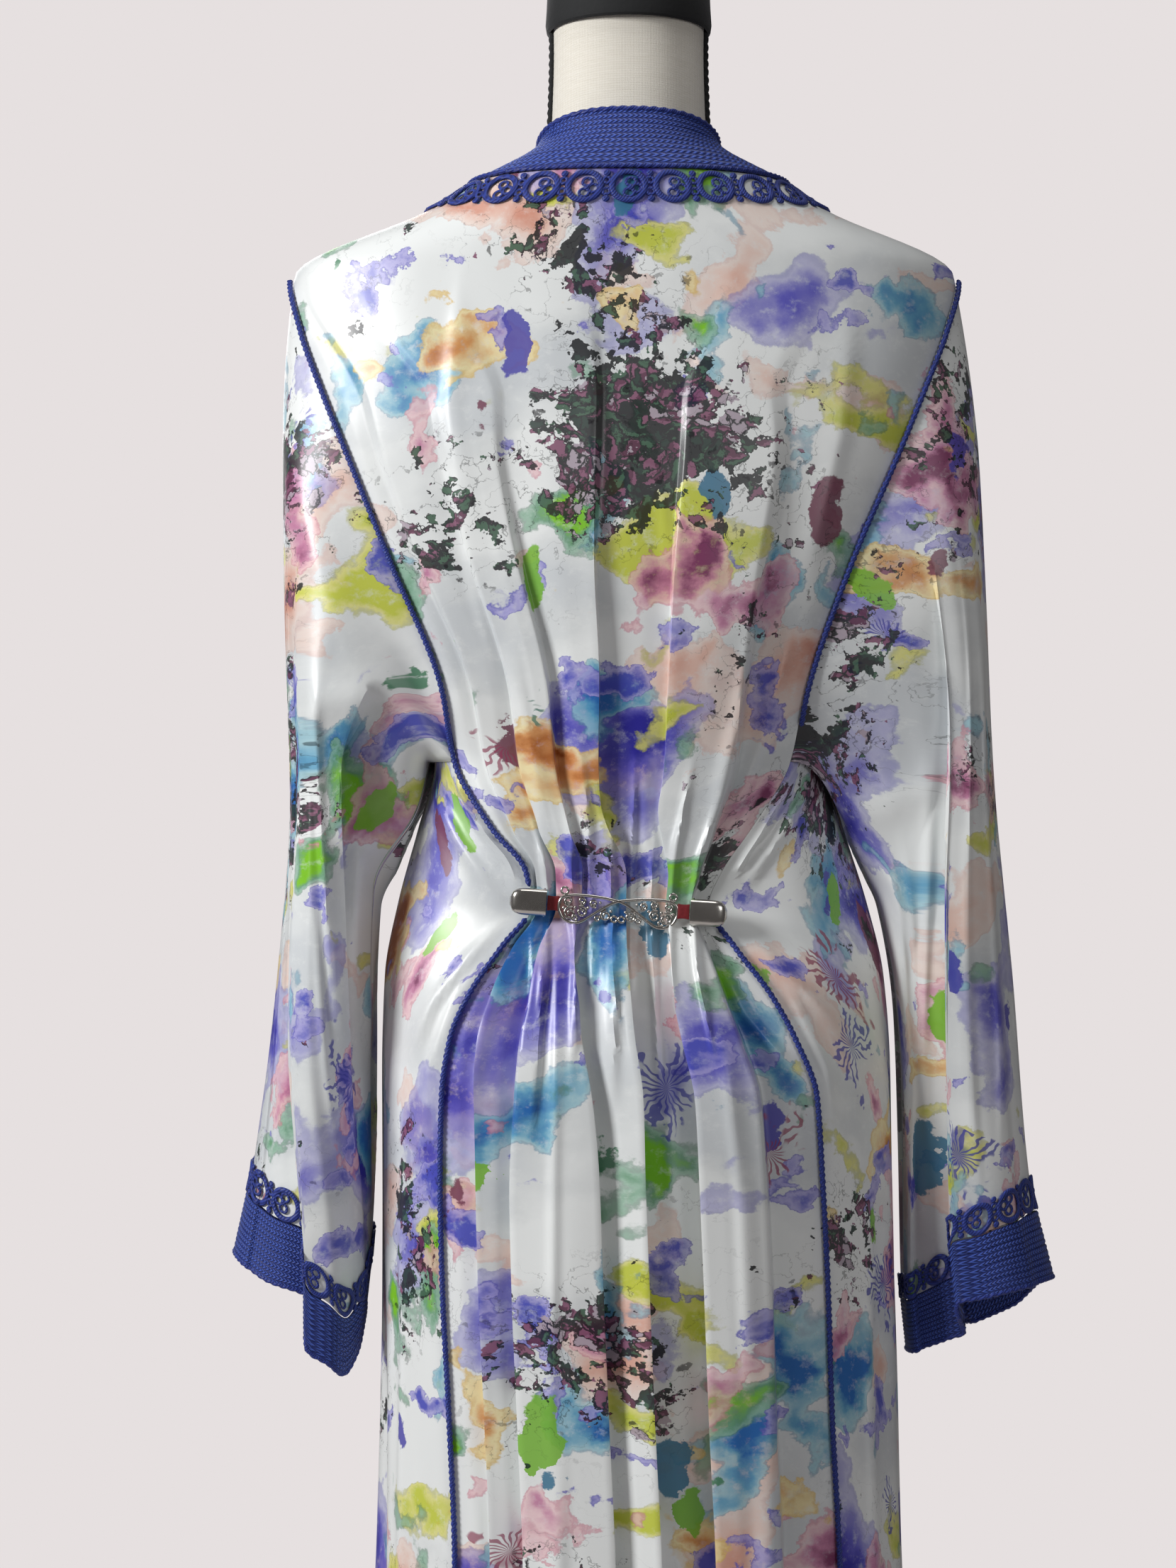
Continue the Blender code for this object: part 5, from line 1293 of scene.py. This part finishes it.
clasp = {"centre": (0.0085, 0.0897, 1.0045), "tilt": math.radians(3.6), "yaw": -0.042,
         "jaw": (0.026, 0.011, 0.019), "jawAt": 0.064, "tab": (0.0085, 0.003, 0.011),
         "tabAt": 0.0462, "wire": 0.0012, "plateLift": 0.0008}


def claspTurn():
    return Matrix.Rotation(clasp["yaw"], 4, "Z") @ Matrix.Rotation(-clasp["tilt"], 4, "Y")


def placeOnClasp(piece, along, lift=0.0):
    x = clasp["centre"][0] + along * math.cos(clasp["tilt"])
    z = clasp["centre"][2] + along * math.sin(clasp["tilt"])
    y = clasp["centre"][1] + along * math.sin(clasp["yaw"]) + lift
    piece.matrix_world = Matrix.Translation((x, y, z)) @ claspTurn()
    applyPlace(piece)


for side, where in ((1, "left"), (-1, "right")):
    # a jaw in two halves with a rounded nose, its grip line and a collar
    bits = []
    for half in (1, -1):
        deselectAll()
        bpy.ops.mesh.primitive_cube_add(size=2.0)
        shell = bpy.context.object
        bpy.ops.object.mode_set(mode="EDIT")
        bpy.ops.mesh.select_all(action="SELECT")
        bpy.ops.mesh.subdivide(number_cuts=11)
        bpy.ops.object.mode_set(mode="OBJECT")
        for vertex in shell.data.vertices:
            x, y, z = vertex.co
            nose = max(0.0, (x * side - 0.15) / 0.85)
            narrow = math.sqrt(max(0.0, 1 - nose ** 2.6))
            around = (abs(y) ** 3.2 + abs(z) ** 3.2) ** (1 / 3.2)
            evened = max(abs(y), abs(z)) / max(1e-6, around)
            y, z = y * evened * (0.25 + 0.75 * narrow), z * evened * (0.30 + 0.70 * narrow)
            y = max(y, 0.0) if half > 0 else min(y, 0.0)
            vertex.co = (x * clasp["jaw"][0] / 2, y * clasp["jaw"][1] / 2 + half * 0.00025,
                         z * clasp["jaw"][2] / 2)
        useOnly(shell)
        bpy.ops.object.mode_set(mode="EDIT")
        bpy.ops.mesh.select_all(action="SELECT")
        bpy.ops.mesh.remove_doubles(threshold=0.00003)
        bpy.ops.mesh.normals_make_consistent(inside=False)
        bpy.ops.object.mode_set(mode="OBJECT")
        bits.append(shell)
    deselectAll()
    bpy.ops.mesh.primitive_torus_add(major_radius=0.0072, minor_radius=0.0010, major_segments=32,
                                     minor_segments=8, rotation=(0, math.pi / 2, 0),
                                     location=(-side * 0.0112, 0, 0))
    collar = bpy.context.object
    collar.scale = (1.28, 0.72, 1.0)
    applyPlace(collar)
    bits.append(collar)
    jaw = joinPieces(bits, "claspJaw" + where.capitalize())
    placeOnClasp(jaw, side * clasp["jawAt"])
    useOnly(jaw)
    bpy.ops.object.shade_smooth_by_angle(angle=math.radians(40))
    dress(jaw, nickel, ["clasp_jaw_" + where])
    deselectAll()
    bpy.ops.mesh.primitive_cube_add(size=1.0)
    tab = bpy.context.object
    tab.name = tab.data.name = "claspTab" + where.capitalize()
    tab.scale = clasp["tab"]
    applyPlace(tab)
    bpy.ops.object.mode_set(mode="EDIT")
    bpy.ops.mesh.select_all(action="SELECT")
    bpy.ops.mesh.subdivide(number_cuts=3)
    bpy.ops.object.mode_set(mode="OBJECT")
    for vertex in tab.data.vertices:
        pinch = 1 - 0.10 * math.cos(vertex.co.x / clasp["tab"][0] * math.pi)
        vertex.co.z *= pinch
    worn = tab.modifiers.new("worn", "BEVEL")
    worn.width, worn.segments, worn.limit_method = 0.0005, 2, "ANGLE"
    applyAll(tab)
    placeOnClasp(tab, side * clasp["tabAt"])
    useOnly(tab)
    bpy.ops.object.shade_smooth_by_angle(angle=math.radians(40))
    dress(tab, redLeather, ["clasp_tab_" + where])


def wireMesh(name, points, radius, closed=False):
    path = bpy.data.curves.new(name, "CURVE")
    path.dimensions = "3D"
    path.bevel_depth = radius
    path.bevel_resolution = 2
    path.use_fill_caps = True
    line = path.splines.new("POLY")
    line.points.add(len(points) - 1)
    for point, place in zip(line.points, points):
        point.co = (*place, 1.0)
    line.use_cyclic_u = closed
    sketch = bpy.data.objects.new(name, path)
    bpy.context.collection.objects.link(sketch)
    useOnly(sketch)
    bpy.ops.object.convert(target="MESH")
    return bpy.context.object


def curl(x, z, radius, start, turns, inner=0.25):
    points = []
    steps = int(20 * abs(turns)) + 4
    for k in range(steps):
        t = k / (steps - 1)
        angle = start + 2 * math.pi * turns * t
        r = radius * (1 - (1 - inner) * t)
        points.append((x + r * math.cos(angle), 0.0, z + r * math.sin(angle)))
    return points


filigree = {
    # one of the two drops, from the crossing over the top and back below, in millimetres
    "drop": [(0, 4.2), (6, 5.4), (14, 6.4), (24, 7.0), (33, 6.8), (40, 4.6), (42, 0), (41.5, -5),
             (38, -10.6), (32, -12.8), (26, -11.8), (19, -7.2), (11, -1.4), (5, 2.2), (0, 4.2)],
    # curls: middle, radius, where each starts and how many turns it makes
    "curls": [(34.0, -6.2, 4.6, 1.9, -1.4), (35.5, 2.2, 3.2, 4.4, 1.3), (26.0, -4.6, 4.0, 1.0, 1.4),
              (26.0, 3.0, 2.8, 5.0, -1.3), (17.5, 1.8, 2.9, 4.0, 1.3), (8.6, -6.4, 4.0, 1.6, -1.4)],
    "rings": [(38.5, 9.6, 2.5), (2.6, -8.6, 2.1), (14.5, -8.8, 1.7), (30.5, -9.6, 1.6)],
    "beads": [(30.5, -2.0, 1.3), (21.5, -1.6, 1.2), (13.0, 2.6, 1.1), (5.2, -3.2, 1.2), (38.8, -2.6, 1.3)],
}
wires = []
for flip in (1, -1):
    line = [(flip * x / 1000, 0.0006 * flip, z / 1000) for x, z in filigree["drop"]]
    smooth = []
    for k in range(len(line) * 6 - 5):
        place, t = divmod(k, 6)
        corners = [Vector(line[min(len(line) - 1, max(0, place + d))]) for d in (-1, 0, 1, 2)]
        t /= 6
        smooth.append(0.5 * ((2 * corners[1]) + (corners[2] - corners[0]) * t
                             + (2 * corners[0] - 5 * corners[1] + 4 * corners[2] - corners[3]) * t * t
                             + (3 * corners[1] - corners[0] - 3 * corners[2] + corners[3]) * t ** 3))
    wires.append(wireMesh("drop", smooth, clasp["wire"]))
    for x, z, radius, start, turns in filigree["curls"]:
        points = [(flip * px, py, pz) for px, py, pz in
                  curl(x / 1000, z / 1000, radius / 1000, start, turns)]
        wires.append(wireMesh("curl", points, clasp["wire"] * 0.78))
    for x, z, radius in filigree["rings"]:
        ring = [(flip * (x + radius * math.cos(a)) / 1000, 0.0, (z + radius * math.sin(a)) / 1000)
                for a in [2 * math.pi * k / 14 for k in range(14)]]
        wires.append(wireMesh("ring", ring, clasp["wire"] * 0.74, True))
    for x, z, radius in filigree["beads"]:
        deselectAll()
        bpy.ops.mesh.primitive_uv_sphere_add(segments=10, ring_count=6, radius=radius / 1000,
                                             location=(flip * x / 1000, 0.0, z / 1000))
        bead = bpy.context.object
        applyPlace(bead)
        wires.append(bead)
plate = joinPieces(wires, "claspFiligree")
placeOnClasp(plate, 0.0, clasp["plateLift"])
useOnly(plate)
bpy.ops.object.shade_smooth_by_angle(angle=math.radians(60))
dress(plate, nickel, ["clasp_filigree"])
print("clasp made")


# dress form and stand

form = {
    "rings": [(0.740, 0.146, 0.082, 0.086), (0.760, 0.154, 0.090, 0.094), (0.860, 0.158, 0.096, 0.098),
              (0.950, 0.146, 0.082, 0.092), (1.030, 0.124, 0.066, 0.088), (1.090, 0.118, 0.066, 0.090),
              (1.160, 0.126, 0.078, 0.104), (1.250, 0.140, 0.088, 0.116), (1.331, 0.156, 0.090, 0.106),
              (1.400, 0.176, 0.083, 0.090), (1.450, 0.186, 0.074, 0.076), (1.480, 0.182, 0.068, 0.068),
              (1.511, 0.144, 0.076, 0.061), (1.530, 0.1097, 0.0715, 0.056), (1.549, 0.0680, 0.0600, 0.0520),
              (1.563, 0.0585, 0.0560, 0.0540), (1.590, 0.0565, 0.0540, 0.0530),
              (1.630, 0.0555, 0.0530, 0.0520), (1.664, 0.0560, 0.0540, 0.0530)],
    "cap": [(0.0, 0.0), (0.0566, 0.0), (0.0572, -0.016), (0.0586, -0.0185), (0.0606, -0.017),
            (0.0614, -0.012), (0.0606, 0.0), (0.0602, 0.010), (0.0585, 0.018),
            (0.0500, 0.027), (0.0330, 0.034), (0.0140, 0.037), (0.0, 0.0375)],
    "capBase": 1.6643, "seamCord": 0.0022,
}


def formPoint(angle, z):
    power = 2 / 2.2
    half = readCurve(form["rings"], 1, z)
    depth = readCurve(form["rings"], 2 if math.sin(angle) >= 0 else 3, z)
    return Vector((half * math.copysign(abs(math.cos(angle)) ** power, math.cos(angle)),
                   depth * math.copysign(abs(math.sin(angle)) ** power, math.sin(angle)), z))


torso = sheetGrid("formBody", 96, 120, lambda u, v: formPoint(2 * math.pi * (u % 1.0), 1.664 - 0.924 * v),
                  (1.0, 0.924), closed=True)
useOnly(torso)
bpy.ops.object.mode_set(mode="EDIT")
bpy.ops.mesh.select_all(action="DESELECT")
bpy.ops.mesh.select_non_manifold()
bpy.ops.mesh.fill_holes(sides=0)
bpy.ops.mesh.select_all(action="SELECT")
bpy.ops.mesh.normals_make_consistent(inside=False)
bpy.ops.object.mode_set(mode="OBJECT")
bpy.ops.object.shade_smooth_by_angle(angle=math.radians(50))
dress(torso, linen, ["form_torso"])

for side in (1, -1):
    # the black cord over the seam on each side of the neck
    path, outs = [], []
    for k in range(31):
        z = 1.566 + (1.6635 - 1.566) * k / 30
        angle = 0.10 if side > 0 else math.pi - 0.10
        path.append(formPoint(angle, z) + Vector((side * 0.0012, 0, 0)))
        outs.append(Vector((side, 0, 0)))
    seam = twistedCord("neckSeam" + ("Left" if side > 0 else "Right"), path, outs, form["seamCord"], 0.006)
    dress(seam, capBlack)


def turnedPiece(name, profile, base, steps=72):
    # a profile from the bottom's middle to the top's middle, spun round the upright axis
    deselectAll()
    bpy.ops.mesh.primitive_plane_add(size=0.001)
    piece = bpy.context.object
    piece.name = piece.data.name = name
    piece.data.clear_geometry()
    piece.data.from_pydata([(r, 0.0, base + h) for r, h in profile],
                           [(k, k + 1) for k in range(len(profile) - 1)], [])
    useOnly(piece)
    bpy.ops.object.mode_set(mode="EDIT")
    bpy.ops.mesh.select_all(action="SELECT")
    bpy.ops.mesh.spin(steps=steps, angle=2 * math.pi, center=(0, 0, 0), axis=(0, 0, 1), use_auto_merge=False)
    bpy.ops.mesh.select_all(action="SELECT")
    bpy.ops.mesh.remove_doubles(threshold=0.00002)
    bpy.ops.mesh.normals_make_consistent(inside=False)
    bpy.ops.object.mode_set(mode="OBJECT")
    bpy.ops.object.shade_smooth_by_angle(angle=math.radians(40))
    return piece


neckCap = turnedPiece("neckCap", form["cap"], form["capBase"])
dress(neckCap, capBlack, ["form_neck_cap"])
for node in ("stand_pole", "stand_base"):
    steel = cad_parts[node]
    for slot in steel.material_slots:
        slot.material = standSteel
print("form made")


# room

room = {
    "backdrop": colour(230, 224, 224), "floor": 1.6, "lens": 4080 / 2212 * 36,
    # name, place, aim, size, watts
    "lamps": [("keyLamp", (2.4, 1.4, 2.2), (0.0, 0.0, 1.1), 0.9, 80),
              ("fillLamp", (-1.6, 2.6, 1.7), (0.0, 0.0, 1.0), 1.0, 11),
              ("frontLamp", (0.9, -2.8, 2.2), (0.0, 0.0, 1.0), 1.6, 26),
              ("topLamp", (0.0, 0.5, 3.1), (0.0, 0.0, 1.1), 1.0, 10)],
}
scene = bpy.context.scene
scene.view_settings.view_transform = "Standard"
world = bpy.data.worlds.new("room")
scene.world = world
world.use_nodes = True
air = world.node_tree
sky = air.nodes["Background"]
sky.inputs["Color"].default_value = (*room["backdrop"], 1.0)
seen = air.nodes.new("ShaderNodeBackground")
seen.inputs["Color"].default_value = (*room["backdrop"], 1.0)
sky.inputs["Strength"].default_value = 0.10
rays = air.nodes.new("ShaderNodeLightPath")
choice = air.nodes.new("ShaderNodeMixShader")
air.links.new(rays.outputs["Is Camera Ray"], choice.inputs[0])
air.links.new(sky.outputs[0], choice.inputs[1])
air.links.new(seen.outputs[0], choice.inputs[2])
air.links.new(choice.outputs[0], air.nodes["World Output"].inputs["Surface"])

deselectAll()
bpy.ops.mesh.primitive_circle_add(vertices=96, radius=room["floor"], fill_type="NGON")
floor = bpy.context.object
floor.name = floor.data.name = "floor"
floor.data.materials.append(makePlain("floorPaint", colour(216, 210, 210), colour(222, 216, 216), 3.0, 0.75))

for name, place, aim, size, watts in room["lamps"]:
    lamp = bpy.data.lights.new(name, "AREA")
    lamp.energy = watts
    lamp.size = size
    holder = bpy.data.objects.new(name, lamp)
    holder.location = place
    holder.rotation_euler = (Vector(aim) - Vector(place)).to_track_quat("-Z", "Y").to_euler()
    scene.collection.objects.link(holder)

lens = bpy.data.cameras.new("camera")
lens.sensor_fit = "VERTICAL"
lens.sensor_height = 36.0
lens.sensor_width = 36.0
lens.lens = room["lens"]
eye = bpy.data.objects.new("camera", lens)
eye.location = (0.03, 2.14, 1.092)
eye.rotation_euler = (math.pi / 2, 0.0, math.pi)
scene.collection.objects.link(eye)
scene.camera = eye
print("room made")
